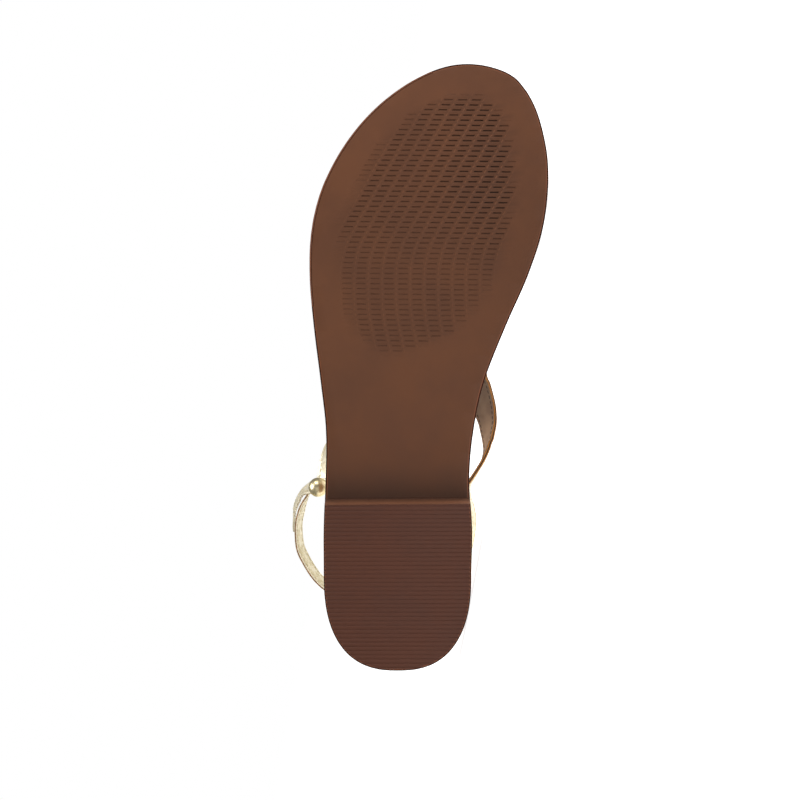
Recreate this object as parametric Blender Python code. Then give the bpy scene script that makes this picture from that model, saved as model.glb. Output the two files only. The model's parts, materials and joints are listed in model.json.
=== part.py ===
"""Toe post sandal for the right foot, lying on its inner side as it rests on a floor.

A flat leather sole with a low heel block, a padded footbed, a V of straps held by a toe post, and a
sling strap round the ankle that buttons on a ball stud. Each piece is one closed solid.

The pieces are drawn in the shoe's own frame, in millimetres: X forward from the back of the heel to
the toe, Y towards the inner side of the foot, Z up from the ground that the sole would stand on.
The last step lays the whole shoe on its inner side and turns millimetres into metres.
"""

import math

import bmesh
import bpy
import numpy as np
from mathutils import Matrix, Vector

MM = 0.001
GAP = 0.3  # left between touching pieces

# Sole
SOLE_LENGTH = 247.9
HEEL_WIDTH = 60.4
HEEL_ROUND_LENGTH = 40.0  # from the back of the heel to its widest line
HEEL_ROUNDNESS = 2.5  # exponent of the heel's curve: 2 is an ellipse, more is squarer
HEEL_BLOCK_LENGTH = 70.0
HEEL_BLOCK_HEIGHT = 9.5
HEEL_BREAST_SLANT = 2.1
HEEL_BLOCK_INSET = 0.1
OUTSOLE_THICKNESS = 4.0
OUTSOLE_EDGE_ROUND = 0.6
BALL_FLAT_START = 143.0
BALL_FLAT_END = 188.0
TOE_SPRING = 6.0
FOOTBED_THICKNESS = 4.0
FOOTBED_INSET = 1.6
FOOTBED_EDGE_ROUND = 1.2
SOLE_STATIONS = 64
HEEL_STATIONS = 30
END_MARGIN = 0.15  # kept off the outline's pointed ends
SEARCH_STEPS = 40

# Side edges of the sole in front of the heel, from the widest line of the heel to the toe's tip.
#   forward, lateral, medial
SOLE_EDGES = (
    (40.0, -30.2, 30.2),
    (58.0, -30.2, 30.5),
    (78.0, -29.5, 29.4),
    (98.0, -29.3, 31.1),
    (118.0, -31.4, 35.4),
    (140.0, -34.1, 43.9),
    (160.0, -35.8, 52.7),
    (178.0, -35.3, 58.7),
    (194.0, -31.8, 61.2),
    (208.0, -25.5, 61.3),
    (220.0, -17.6, 59.3),
    (230.0, -8.5, 56.2),
    (238.4, 2.1, 51.4),
    (244.0, 12.1, 45.2),
    (247.9, 28.6, 28.6),
)

# Straps
STRAP_THICKNESS = 1.5
PLY_THICKNESS = 1.0
STRAP_COLUMNS = 2
LEG_STEPS = 52
THROAT_STEPS = 8
TAB_STEPS = 28
SLING_STEPS = 90
SLOT_STEPS = 20
WELD = 0.02  # vertices closer than this are one
TOE_POST_RADIUS = 2.3
TOE_POST_FORWARD = 198.5
TOE_POST_TOP = 25.4
TOE_POST_LIFT = 0.1  # over the footbed's underside
THROAT_SIDE = 25.0
THROAT_BLEND = 0.08  # part of a leg over which it leaves the throat's first row
SLOT_CLEARANCE = 0.5  # all round a leg in the footbed
SLOT_START = 0.66  # part of a leg above which it can't touch the footbed
SLOT_DROP = 3.0  # how far the slot's cutter reaches below the leg's end
HOLE_REACH = 2.0  # how far a cutter stands out of what it cuts

# Throat plate that joins both legs over the toe post.
#   forward, height, half_width
THROAT_ROWS = (
    (192.0, 26.0, 7.0),
    (196.5, 25.6, 6.8),
    (200.5, 24.6, 5.9),
    (203.5, 23.0, 4.2),
    (205.0, 21.4, 2.2),
)

# Middle line of each strap. Lean is how far its face tips out of upright, in degrees: below zero its
# upper edge tips in over the foot, above zero it flares out.
#   forward, side, height, lean, width
MEDIAL_LEG = (
    (192.0, 28.5, 26.0, -90.0, 7.0),
    (178.0, 29.6, 30.6, -78.0, 10.0),
    (160.0, 29.3, 37.0, -66.0, 12.0),
    (140.0, 29.6, 42.3, -56.0, 12.0),
    (121.0, 32.6, 44.8, -48.0, 12.0),
    (114.0, 34.75, 44.6, -48.0, 12.0),
    (107.0, 36.5, 43.9, -46.0, 12.0),
    (102.0, 37.65, 43.1, -35.0, 12.0),
    (98.4, 38.0, 42.1, -28.0, 12.0),
    (95.0, 38.1, 40.9, -20.0, 12.0),
    (92.0, 38.0, 39.4, -15.0, 12.0),
    (89.6, 37.3, 38.0, -12.0, 12.0),
    (87.2, 36.7, 36.5, -11.0, 12.0),
    (82.0, 33.6, 32.9, -17.0, 12.0),
    (75.0, 28.7, 27.4, -20.0, 12.0),
    (70.0, 24.6, 23.0, -24.0, 12.0),
    (67.2, 22.6, 19.5, -31.0, 12.0),
    (66.6, 22.2, 17.0, -36.0, 12.0),
    (66.6, 22.2, 14.6, -36.0, 12.0),
)
LATERAL_LEG = (
    (192.0, 21.5, 26.0, -90.0, 7.0),
    (177.0, 16.0, 32.0, -78.0, 10.0),
    (158.0, 6.5, 40.0, -66.0, 12.0),
    (136.0, -6.0, 46.5, -54.0, 12.0),
    (116.0, -17.0, 47.0, -38.0, 12.0),
    (102.0, -23.5, 41.0, -18.0, 12.0),
    (93.0, -26.3, 31.5, -4.0, 12.0),
    (88.8, -26.0, 22.5, 0.0, 12.0),
    (88.0, -25.4, 17.0, 0.0, 12.0),
    (88.0, -25.4, 13.6, 0.0, 12.0),
)
STUD_TAB = (
    (118.0, -15.4, 49.6, -38.0, 5.0),
    (113.0, -17.9, 49.7, -36.0, 10.0),
    (106.0, -20.2, 49.4, -27.0, 11.0),
    (99.0, -24.0, 48.7, -8.0, 11.0),
    (92.0, -27.8, 48.2, 17.0, 11.0),
    (84.5, -29.1, 48.6, 37.0, 11.0),
    (78.8, -29.1, 49.3, 52.0, 11.0),
    (74.1, -29.6, 49.9, 62.0, 10.0),
    (70.6, -30.2, 50.2, 63.0, 5.5),
)
BUTTON_TAB = (
    (74.8, -27.35, 45.3, 56.0, 4.0),
    (74.8, -30.75, 47.3, 54.0, 5.5),
    (74.0, -35.1, 49.9, 38.0, 6.4),
    (71.8, -39.7, 51.4, 13.0, 6.8),
    (68.1, -42.0, 52.0, 10.0, 8.6),
    (64.0, -43.45, 52.6, 5.0, 9.5),
    (60.3, -43.5, 53.2, 0.0, 8.5),
    (57.4, -43.5, 53.4, -5.0, 6.5),
    (55.0, -43.25, 53.6, -9.0, 4.0),
)

# Sling strap: a slack ring round the ankle, then a straight run sewn outside the medial leg.
RING_FORWARD = 55.5
RING_SIDE = -5.05
RING_HALF_LENGTH = 32.0
RING_HALF_WIDTH = 36.75
#   turn round the ring from straight lateral, height, lean, width
SLING_RING = (
    (-27.8, 52.8, 0.0, 3.4),
    (-24.8, 52.1, -5.0, 6.6),
    (-15.0, 51.6, -12.0, 10.0),
    (0.0, 53.0, -14.0, 10.0),
    (20.0, 55.0, -17.0, 10.0),
    (50.0, 56.8, -18.0, 10.0),
    (90.0, 58.5, -14.0, 10.0),
    (125.0, 57.8, -6.0, 10.0),
    (155.0, 55.5, 6.0, 10.0),
    (180.0, 52.5, 12.0, 10.0),
)
#   forward, side, height, lean, width
SLING_END = (
    (64.0, 31.4, 50.6, 10.0, 10.0),
    (69.5, 30.0, 50.2, 8.0, 10.0),
    (74.3, 30.2, 50.0, 5.0, 10.0),
    (78.2, 32.4, 49.9, 3.0, 9.8),
    (82.5, 34.8, 49.9, 1.0, 9.6),
    (86.0, 36.2, 49.8, -2.0, 9.4),
    (89.0, 37.1, 49.7, -5.0, 9.0),
    (92.0, 37.7, 49.2, -12.0, 8.8),
    (95.0, 37.7, 48.4, -17.0, 8.6),
    (98.4, 37.45, 47.4, -26.0, 8.4),
    (102.0, 37.0, 47.1, -34.0, 8.0),
    (105.0, 36.0, 47.3, -41.0, 6.5),
    (107.5, 35.2, 47.5, -46.0, 4.5),
)

# Ball stud, on the tab's outer face
STUD_AT = 7.0  # row of the stud tab that it is riveted at
BALL_RADIUS = 4.1
BALL_STEPS = 10
BALL_OFFSET = 7.8
STUD_NECK_RADIUS = 1.2
STUD_BASE_RADIUS = 2.6
STUD_BASE_THICKNESS = 0.9
STUD_BASE_GAP = 0.4  # from the tab's inner face
ROUND_SIDES = 24


def clear_scene():
    for old in list(bpy.data.objects):
        bpy.data.objects.remove(old, do_unlink=True)


def material(name, color, roughness, metallic=0.0):
    made = bpy.data.materials.new(name)
    made.use_nodes = True
    shader = made.node_tree.nodes["Principled BSDF"]
    shader.inputs["Base Color"].default_value = (*color, 1.0)
    shader.inputs["Roughness"].default_value = roughness
    shader.inputs["Metallic"].default_value = metallic
    return made


def new_object(name, bm, finish=None):
    """An object from a bmesh, in the shoe's frame for now."""
    mesh = bpy.data.meshes.new(name)
    bm.to_mesh(mesh)
    bm.free()
    made = bpy.data.objects.new(name, mesh)
    bpy.context.collection.objects.link(made)
    if finish:
        mesh.materials.append(finish)
    return made


def through(rows, at):
    """The row at a place between rows, on a smooth curve through all of them."""
    rows = np.asarray(rows, float)
    last = len(rows) - 1
    at = min(max(at, 0.0), float(last))
    i = min(int(at), last - 1)
    t = at - i
    before = rows[i - 1] if i else 2 * rows[0] - rows[1]
    after = rows[i + 2] if i + 2 <= last else 2 * rows[last] - rows[last - 1]
    a, b = rows[i], rows[i + 1]
    return 0.5 * (
        2 * a
        + (b - before) * t
        + (2 * before - 5 * a + 4 * b - after) * t**2
        + (3 * a - before - 3 * b + after) * t**3
    )


def ease(t):
    """0 to 1 with level ends."""
    t = min(max(t, 0.0), 1.0)
    return t * t * (3 - 2 * t)


# The sole's form


def sole_bottom(x):
    """Height of the outsole's underside: heel seat, falling shank, flat ball and rising toe."""
    if x < BALL_FLAT_START:
        fall = (x - HEEL_BLOCK_LENGTH) / (BALL_FLAT_START - HEEL_BLOCK_LENGTH)
        return HEEL_BLOCK_HEIGHT * (1 - ease(fall))
    rise = max(0.0, (x - BALL_FLAT_END) / (SOLE_LENGTH - BALL_FLAT_END))
    return TOE_SPRING * rise**2


def sole_edges(x):
    """Lateral and medial edge of the outsole at x."""
    if x < HEEL_ROUND_LENGTH:
        back = (HEEL_ROUND_LENGTH - x) / HEEL_ROUND_LENGTH
        half = (1 - back**HEEL_ROUNDNESS) ** (1 / HEEL_ROUNDNESS) * HEEL_WIDTH / 2
        return -half, half
    # The toe is round, so its width grows with the square root of the way from the tip.
    rows = [(math.sqrt(SOLE_LENGTH - r[0]), r[1], r[2]) for r in SOLE_EDGES]
    wanted = math.sqrt(max(0.0, SOLE_LENGTH - x))
    low, high = 0.0, float(len(rows) - 1)
    for _ in range(SEARCH_STEPS):
        middle = (low + high) / 2
        if through(rows, middle)[0] > wanted:
            low = middle
        else:
            high = middle
    return tuple(through(rows, low)[1:])


def outline(inset):
    """The closed outline (x, y), moved in by inset: up the lateral side and down the medial side."""
    turns = [math.pi * (i + 0.5) / SOLE_STATIONS for i in range(SOLE_STATIONS)]
    stations = [SOLE_LENGTH * (1 - math.cos(t)) / 2 for t in turns]
    edges = [sole_edges(x) for x in stations]
    lateral = [(x, e[0]) for x, e in zip(stations, edges)]
    medial = [(x, e[1]) for x, e in zip(stations, edges)]
    loop = np.array([(0.0, 0.0), *lateral, (SOLE_LENGTH, SOLE_EDGES[-1][1]), *medial[::-1]])
    run = np.roll(loop, -1, 0) - np.roll(loop, 1, 0)
    normal = np.stack([-run[:, 1], run[:, 0]], 1) / np.linalg.norm(run, axis=1)[:, None]
    # The loop runs anticlockwise seen from above, so its left side faces in.
    return loop + normal * inset


def plan_sections(inset, first, last, count):
    """(x, lateral, medial) at stations that crowd towards the round ends."""
    loop = outline(inset)
    half = SOLE_STATIONS + 2
    lateral = loop[:half]
    medial = np.concatenate([loop[half - 1 :], loop[:1]])[::-1]
    first = max(first, lateral[0, 0] + END_MARGIN)
    last = min(last, lateral[-1, 0] - END_MARGIN)
    sections = []
    for i in range(count):
        x = first + (last - first) * (1 - math.cos(math.pi * i / (count - 1))) / 2
        sections.append(
            (x, np.interp(x, lateral[:, 0], lateral[:, 1]), np.interp(x, medial[:, 0], medial[:, 1]))
        )
    return sections


def slab(name, sections, bottom, top, round_by, finish):
    """A plate whose cross-sections run from bottom(x) to top(x) with eased edges."""
    bm = bmesh.new()
    edges = []
    for x, lateral, medial in sections:
        low, high = bottom(x), top(x)
        ease_by = min(round_by, (medial - lateral) / 4)
        profile = (
            (lateral + ease_by, low),
            (medial - ease_by, low),
            (medial, low + ease_by),
            (medial, high - ease_by),
            (medial - ease_by, high),
            (lateral + ease_by, high),
            (lateral, high - ease_by),
            (lateral, low + ease_by),
        )
        ring = [bm.verts.new((x, y, z)) for y, z in profile]
        edges.append([bm.edges.new((ring[i - 1], ring[i])) for i in range(len(ring))])
    for near, far in zip(edges, edges[1:]):
        bmesh.ops.bridge_loops(bm, edges=near + far)
    bmesh.ops.contextual_create(bm, geom=edges[0])
    bmesh.ops.contextual_create(bm, geom=edges[-1])
    bmesh.ops.recalc_face_normals(bm, faces=bm.faces)
    return new_object(name, bm, finish)


# The straps' form


class Strap:
    """A band along a middle line of rows, read by a place from 0 to 1 along it."""

    def __init__(self, rows, outward):
        self.rows = np.asarray(rows, float)
        self.outward = outward

    def frame(self, along):
        """Centre, run, outward and upward directions, lean and width at a place along the band."""
        at = along * (len(self.rows) - 1)
        x, y, z, lean, width = through(self.rows, at)
        step = 0.02
        ahead = through(self.rows, at + step)[:3] - through(self.rows, at - step)[:3]
        run = Vector(ahead).normalized()
        centre = Vector((x, y, z))
        out = self.outward(centre)
        out = (out - run * out.dot(run)).normalized()
        up = out.cross(run)
        if up.dot(Vector((-0.5, 0, 1))) < 0:
            up = -up
        return centre, run, out, up, math.radians(lean), width

    def face(self, along):
        """Direction that the band's outer face looks in."""
        _, _, out, up, lean, _ = self.frame(along)
        return out * math.cos(lean) - up * math.sin(lean)

    def point(self, across, along, grow=0.0):
        """A point of the middle surface: across is -1 on the lower edge and 1 on the upper edge."""
        centre, _, out, up, lean, width = self.frame(along)
        return centre + (up * math.cos(lean) + out * math.sin(lean)) * across * (width / 2 + grow)


def grid(bm, columns, steps, place):
    """Adds a sheet of quads to bm, with each vertex set by place(across, along)."""
    made = bmesh.ops.create_grid(bm, x_segments=columns, y_segments=steps, size=1.0)
    for vert in made["verts"]:
        across, along = vert.co.x, (vert.co.y + 1) / 2
        vert.co = place(across, along)


def thickened(made, thickness):
    """Gives a sheet its thickness, half to each side."""
    wall = made.modifiers.new("wall", "SOLIDIFY")
    wall.thickness = thickness
    wall.offset = 0.0
    wall.use_even_offset = True
    return made


def helper(made):
    """Marks a cutter: it shapes other pieces and isn't one itself."""
    made.hide_render = True
    made.display_type = "WIRE"
    return made


def boolean(target, tool, operation):
    change = target.modifiers.new(tool.name, "BOOLEAN")
    change.operation = operation
    change.object = tool
    change.solver = "EXACT"


def rod(name, start, end, radius):
    """A plain round bar between two points."""
    bm = bmesh.new()
    axis = end - start
    turn = axis.to_track_quat("Z", "Y").to_matrix().to_4x4()
    bmesh.ops.create_cone(
        bm,
        cap_ends=True,
        segments=ROUND_SIDES,
        radius1=radius,
        radius2=radius,
        depth=axis.length,
        matrix=Matrix.Translation((start + end) / 2) @ turn,
    )
    return new_object(name, bm)


def medial(_):
    return Vector((0, 1, 0))


def lateral(_):
    return Vector((0, -1, 0))


def from_ring(point):
    """Away from the ankle, and straight out along the inner side where the sling meets the leg."""
    if point.x > RING_FORWARD and point.y > 0:
        return Vector((0, 1, 0))
    return Vector((point.x - RING_FORWARD, point.y - RING_SIDE, 0)).normalized()


def sling_rows():
    """The sling strap's rows: its ring worked out from the ellipse, then its straight run."""
    rows = []
    for turn, height, lean, width in SLING_RING:
        angle = math.radians(turn)
        x = RING_FORWARD - RING_HALF_LENGTH * math.sin(angle)
        y = RING_SIDE - RING_HALF_WIDTH * math.cos(angle)
        rows.append((x, y, height, lean, width))
    return rows + list(SLING_END)


def make_upper(finish):
    """Throat plate, both legs and the stud's tab as one sheet, with the toe post joined on."""
    medial_leg = Strap(MEDIAL_LEG, medial)
    lateral_leg = Strap(LATERAL_LEG, lateral)
    tab = Strap(STUD_TAB, lateral)
    bm = bmesh.new()

    def throat(across, along):
        x, z, half = through(THROAT_ROWS, along * (len(THROAT_ROWS) - 1))
        return Vector((x, THROAT_SIDE + across * half, z))

    # Each leg starts as one half of the throat's first row, which the plate shares.
    for leg, side in ((medial_leg, 1), (lateral_leg, -1)):

        def on_leg(across, along, leg=leg, side=side):
            start = throat(side * (1 - across) / 2, 0)
            return start.lerp(leg.point(across, along), ease(along / THROAT_BLEND))

        grid(bm, STRAP_COLUMNS, LEG_STEPS, on_leg)

    grid(bm, 2 * STRAP_COLUMNS, THROAT_STEPS, throat)
    bmesh.ops.remove_doubles(bm, verts=bm.verts, dist=WELD)
    bmesh.ops.recalc_face_normals(bm, faces=bm.faces)
    upper = thickened(new_object("thong_upper", bm, finish), STRAP_THICKNESS)
    foot = Vector((TOE_POST_FORWARD, THROAT_SIDE, footbed_bottom(TOE_POST_FORWARD) + TOE_POST_LIFT))
    head = Vector((TOE_POST_FORWARD, THROAT_SIDE, TOE_POST_TOP))
    boolean(upper, helper(rod("toe_post", foot, head, TOE_POST_RADIUS)), "UNION")
    # The stud's tab is a band of its own, sewn onto the outside of the lateral leg.
    bm = bmesh.new()
    grid(bm, STRAP_COLUMNS, TAB_STEPS, tab.point)
    bmesh.ops.recalc_face_normals(bm, faces=bm.faces)
    boolean(upper, helper(thickened(new_object("stud_tab", bm), STRAP_THICKNESS)), "UNION")
    return upper, medial_leg, lateral_leg, tab


def footbed_bottom(x):
    return sole_bottom(x) + OUTSOLE_THICKNESS + GAP


def footbed_top(x):
    return footbed_bottom(x) + FOOTBED_THICKNESS


def make_slot(name, leg):
    """A cutter round the lower end of a leg, larger than the leg all round."""
    bm = bmesh.new()

    def place(across, along):
        point = leg.point(across, SLOT_START + (1 - SLOT_START) * along, SLOT_CLEARANCE)
        return point - Vector((0, 0, SLOT_DROP * along**4))

    grid(bm, STRAP_COLUMNS, SLOT_STEPS, place)
    bmesh.ops.recalc_face_normals(bm, faces=bm.faces)
    return helper(thickened(new_object(name, bm), STRAP_THICKNESS + 2 * SLOT_CLEARANCE))


def make_soles(upper_legs, finishes):
    whole = plan_sections(0.0, 0.0, SOLE_LENGTH, SOLE_STATIONS)
    outsole = slab(
        "outsole",
        whole,
        sole_bottom,
        lambda x: sole_bottom(x) + OUTSOLE_THICKNESS,
        OUTSOLE_EDGE_ROUND,
        finishes["outsole"],
    )
    inner = plan_sections(FOOTBED_INSET, 0.0, SOLE_LENGTH, SOLE_STATIONS)
    footbed = slab(
        "footbed", inner, footbed_bottom, footbed_top, FOOTBED_EDGE_ROUND, finishes["footbed"]
    )
    for name, leg in upper_legs.items():
        boolean(footbed, make_slot(name, leg), "DIFFERENCE")
    post_low = Vector((TOE_POST_FORWARD, THROAT_SIDE, footbed_bottom(TOE_POST_FORWARD) - HOLE_REACH))
    post_high = post_low + Vector((0, 0, FOOTBED_THICKNESS + 2 * HOLE_REACH))
    hole = rod("post_hole", post_low, post_high, TOE_POST_RADIUS + GAP)
    boolean(footbed, helper(hole), "DIFFERENCE")
    return outsole, footbed


def make_heel(finish):
    """The heel block under the heel seat, its front face slanting forward as it rises."""
    sections = plan_sections(HEEL_BLOCK_INSET, 0.0, HEEL_BLOCK_LENGTH, HEEL_STATIONS)
    heel = slab(
        "heel_block",
        sections,
        lambda x: 0.0,
        lambda x: HEEL_BLOCK_HEIGHT - GAP,
        OUTSOLE_EDGE_ROUND,
        finish,
    )
    for vert in heel.data.vertices:
        if vert.co.x > HEEL_BLOCK_LENGTH - 0.01:
            vert.co.x -= HEEL_BREAST_SLANT * (1 - vert.co.z / HEEL_BLOCK_HEIGHT)
    return heel


def make_sling(finish):
    sling = Strap(sling_rows(), from_ring)
    bm = bmesh.new()
    grid(bm, STRAP_COLUMNS, SLING_STEPS, sling.point)
    bmesh.ops.recalc_face_normals(bm, faces=bm.faces)
    return thickened(new_object("sling_strap", bm, finish), PLY_THICKNESS)


def make_button_tab(finish):
    tab = Strap(BUTTON_TAB, from_ring)
    bm = bmesh.new()
    grid(bm, STRAP_COLUMNS, TAB_STEPS, tab.point)
    bmesh.ops.recalc_face_normals(bm, faces=bm.faces)
    return thickened(new_object("button_tab", bm, finish), PLY_THICKNESS)


def make_stud(tab, finish):
    """Ball, neck and inner base as one turned piece, square to the tab."""
    riveted = STUD_AT / (len(STUD_TAB) - 1)
    seat, tip = tab.point(0, riveted), tab.face(riveted)
    base_top = -(STRAP_THICKNESS / 2 + STUD_BASE_GAP)
    neck_end = BALL_OFFSET - math.sqrt(BALL_RADIUS**2 - STUD_NECK_RADIUS**2)
    profile = [
        (0.0, base_top - STUD_BASE_THICKNESS),
        (STUD_BASE_RADIUS, base_top - STUD_BASE_THICKNESS),
        (STUD_BASE_RADIUS, base_top),
        (STUD_NECK_RADIUS, base_top),
        (STUD_NECK_RADIUS, neck_end),
    ]
    start = math.asin(STUD_NECK_RADIUS / BALL_RADIUS)
    for i in range(1, BALL_STEPS + 1):
        turn = start + (math.pi - start) * i / BALL_STEPS
        profile.append((BALL_RADIUS * math.sin(turn), BALL_OFFSET - BALL_RADIUS * math.cos(turn)))
    profile[-1] = (0.0, BALL_OFFSET + BALL_RADIUS)
    bm = bmesh.new()
    verts = [bm.verts.new((r, 0, h)) for r, h in profile]
    edges = [bm.edges.new(pair) for pair in zip(verts, verts[1:])]
    bmesh.ops.spin(
        bm, geom=verts + edges, axis=(0, 0, 1), cent=(0, 0, 0), angle=math.tau, steps=ROUND_SIDES, use_merge=True
    )
    bmesh.ops.remove_doubles(bm, verts=bm.verts, dist=0.001)
    bmesh.ops.recalc_face_normals(bm, faces=bm.faces)
    place = Matrix.Translation(seat) @ tip.to_track_quat("Z", "Y").to_matrix().to_4x4()
    bm.transform(place)
    stud = new_object("ball_stud", bm, finish)
    far = seat + tip * BALL_OFFSET
    near = seat - tip * HOLE_REACH
    hole = helper(rod("stud_hole", near, far, STUD_NECK_RADIUS + GAP))
    return stud, hole


def applied(made):
    """The object's mesh with its modifiers worked in."""
    graph = bpy.context.evaluated_depsgraph_get()
    mesh = bpy.data.meshes.new_from_object(made.evaluated_get(graph))
    made.modifiers.clear()
    made.data = mesh


def volume_and_moment(mesh):
    """Volume of a closed mesh, and that times its centroid."""
    mesh.calc_loop_triangles()
    volume, moment = 0.0, Vector()
    for tri in mesh.loop_triangles:
        a, b, c = (mesh.vertices[i].co for i in tri.vertices)
        part = a.dot(b.cross(c)) / 6
        volume += part
        moment += (a + b + c) / 4 * part
    return volume, moment


def resting_face(pieces):
    """Unit normal of the face of the pieces' hull that the shoe lies on, on its inner side."""
    bm = bmesh.new()
    total, moment = 0.0, Vector()
    for piece in pieces:
        for vert in piece.data.vertices:
            bm.verts.new(vert.co)
        volume, part = volume_and_moment(piece.data)
        total += volume
        moment += part
    centre = moment / total
    bmesh.ops.convex_hull(bm, input=bm.verts)
    found = None
    for face in bm.faces:
        if face.normal.y < 0.9:
            continue
        reach = (face.verts[0].co - centre).dot(face.normal)
        foot = centre + face.normal * reach
        sides = [
            (b.vert.co - a.vert.co).cross(foot - a.vert.co).dot(face.normal)
            for a, b in zip(face.loops, [*face.loops[1:], face.loops[0]])
        ]
        if min(sides) >= 0:
            found = face.normal.copy()
    bm.free()
    return found


def lay_down(pieces):
    """Lays the shoe on its inner side, toe towards +X and sole towards -Y, in metres."""
    down = resting_face(pieces)
    up = -down
    toe = Vector((1, 0, 0))
    forward = (toe - up * toe.dot(up)).normalized()
    across = up.cross(forward)
    turn = Matrix((forward, across, up)).to_4x4()
    for piece in pieces:
        piece.data.transform(turn)
    points = np.array([tuple(v.co) for piece in pieces for v in piece.data.vertices])
    low, high = points.min(0), points.max(0)
    base = Vector((-(low[0] + high[0]) / 2, -(low[1] + high[1]) / 2, -low[2]))
    to_metres = Matrix.Diagonal((MM, MM, MM, 1)) @ Matrix.Translation(base)
    for piece in pieces:
        piece.data.transform(to_metres)
        piece.data.shade_smooth()
        piece.data.set_sharp_from_angle(angle=math.radians(35))
    return to_metres @ turn


def main():
    clear_scene()
    finishes = {
        "outsole": material("brown_sole", (0.14, 0.05, 0.03), 0.6),
        "heel": material("brown_heel", (0.10, 0.04, 0.025), 0.6),
        "footbed": material("footbed_leather", (0.35, 0.22, 0.13), 0.7),
        "upper": material("gold_leather", (0.72, 0.62, 0.40), 0.35, 0.7),
        "stud": material("polished_brass", (0.80, 0.65, 0.35), 0.15, 1.0),
    }
    upper, medial_leg, lateral_leg, tab = make_upper(finishes["upper"])
    outsole, footbed = make_soles({"medial_slot": medial_leg, "lateral_slot": lateral_leg}, finishes)
    heel = make_heel(finishes["heel"])
    sling = make_sling(finishes["upper"])
    button_tab = make_button_tab(finishes["upper"])
    stud, stud_hole = make_stud(tab, finishes["stud"])
    boolean(upper, stud_hole, "DIFFERENCE")
    boolean(button_tab, stud_hole, "DIFFERENCE")
    pieces = [outsole, heel, footbed, upper, sling, button_tab, stud]
    bpy.context.view_layer.update()
    for piece in pieces:
        applied(piece)
    for tool in [o for o in bpy.data.objects if o.hide_render]:
        bpy.data.objects.remove(tool, do_unlink=True)
    return lay_down(pieces)


main()
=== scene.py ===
"""Visual model of a toe post sandal for the right foot, lying on its inner side on a pale floor.

A thin moulded sole with a cross-ribbed heel block and a patch of pressed dashes under the ball, a
padded footbed, a V of crinkled gold straps on a toe post, and a sling strap round the ankle that
buttons on a brass ball stud.

The pieces are drawn in the shoe's own frame, in millimetres: X forward from the back of the heel to
the toe, Y towards the inner side of the foot, Z up from the ground that the sole would stand on. The
frame's mount points say how the shoe lies, and each mesh is set there when it is finished.
"""

import json
import logging
import math
from dataclasses import dataclass, field
from enum import Enum, IntEnum
from typing import Any, Callable, Iterable, Sequence

import bmesh
import bpy
import numpy as np
from mathutils import Matrix, Vector


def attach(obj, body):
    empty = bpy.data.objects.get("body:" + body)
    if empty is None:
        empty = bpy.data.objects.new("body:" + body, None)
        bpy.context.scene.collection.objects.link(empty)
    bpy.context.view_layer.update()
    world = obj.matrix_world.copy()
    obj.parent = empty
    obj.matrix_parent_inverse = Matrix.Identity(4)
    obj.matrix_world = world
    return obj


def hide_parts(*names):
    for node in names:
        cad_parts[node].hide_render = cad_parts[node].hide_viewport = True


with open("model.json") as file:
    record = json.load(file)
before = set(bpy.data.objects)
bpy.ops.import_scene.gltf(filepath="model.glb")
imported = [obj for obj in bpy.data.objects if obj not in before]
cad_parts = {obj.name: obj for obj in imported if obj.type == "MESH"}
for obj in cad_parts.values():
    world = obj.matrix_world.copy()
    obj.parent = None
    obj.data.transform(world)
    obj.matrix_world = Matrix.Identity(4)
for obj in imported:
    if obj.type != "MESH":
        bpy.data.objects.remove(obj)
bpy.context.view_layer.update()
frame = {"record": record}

log = logging.getLogger("sandal")
MM = 0.001


# Helpers


class Cut(Enum):
    """What a tool solid does to the piece it meets."""

    KEEP_INSIDE = "INTERSECT"
    TAKE_AWAY = "DIFFERENCE"


def linear(hex_colour: str) -> tuple[float, float, float, float]:
    """An sRGB hex colour as linear RGBA, opaque.

    Args:
        hex_colour: six hex digits.

    Returns:
        Four linear channels.
    """
    channels = [int(hex_colour[i : i + 2], 16) / 255 for i in (0, 2, 4)]
    made = [c / 12.92 if c <= 0.04045 else ((c + 0.055) / 1.055) ** 2.4 for c in channels]
    return (made[0], made[1], made[2], 1.0)


def add_node(
    tree: bpy.types.NodeTree,
    kind: str,
    settings: dict[str, Any] | None = None,
    inputs: dict[Any, Any] | None = None,
) -> bpy.types.Node:
    """Adds a node with its settings and links.

    Args:
        tree: the node tree.
        kind: the node's type name.
        settings: attributes to set.
        inputs: by socket, a value to set or an output socket to link from.

    Returns:
        The node.
    """
    made = tree.nodes.new(kind)
    for key, value in (settings or {}).items():
        setattr(made, key, value)
    for key, value in (inputs or {}).items():
        if isinstance(value, bpy.types.NodeSocket):
            tree.links.new(value, made.inputs[key])
        else:
            made.inputs[key].default_value = value
    return made


def ease(t: float) -> float:
    """0 to 1 with level ends."""
    t = min(max(t, 0.0), 1.0)
    return t * t * (3 - 2 * t)


@dataclass(frozen=True)
class Ramp:
    """A rise from 0 to 1 with level ends. With a reach below zero it rises the other way."""

    start: float
    reach: float

    def at(self, place: float) -> float:
        """Its value at a place."""
        return ease((place - self.start) / self.reach)


def through(rows: Sequence[Sequence[float]], at: float) -> np.ndarray:
    """The row at a place between rows, on a smooth curve through all of them.

    Args:
        rows: the table.
        at: place in the table, where 1.5 is halfway from the second row to the third.

    Returns:
        One row.
    """
    table = np.asarray(rows, float)
    last = len(table) - 1
    at = min(max(at, 0.0), float(last))
    i = min(int(at), last - 1)
    t = at - i
    before = table[i - 1] if i else 2 * table[0] - table[1]
    after = table[i + 2] if i + 2 <= last else 2 * table[last] - table[last - 1]
    a, b = table[i], table[i + 1]
    return 0.5 * (
        2 * a
        + (b - before) * t
        + (2 * before - 5 * a + 4 * b - after) * t**2
        + (3 * a - before - 3 * b + after) * t**3
    )


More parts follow.
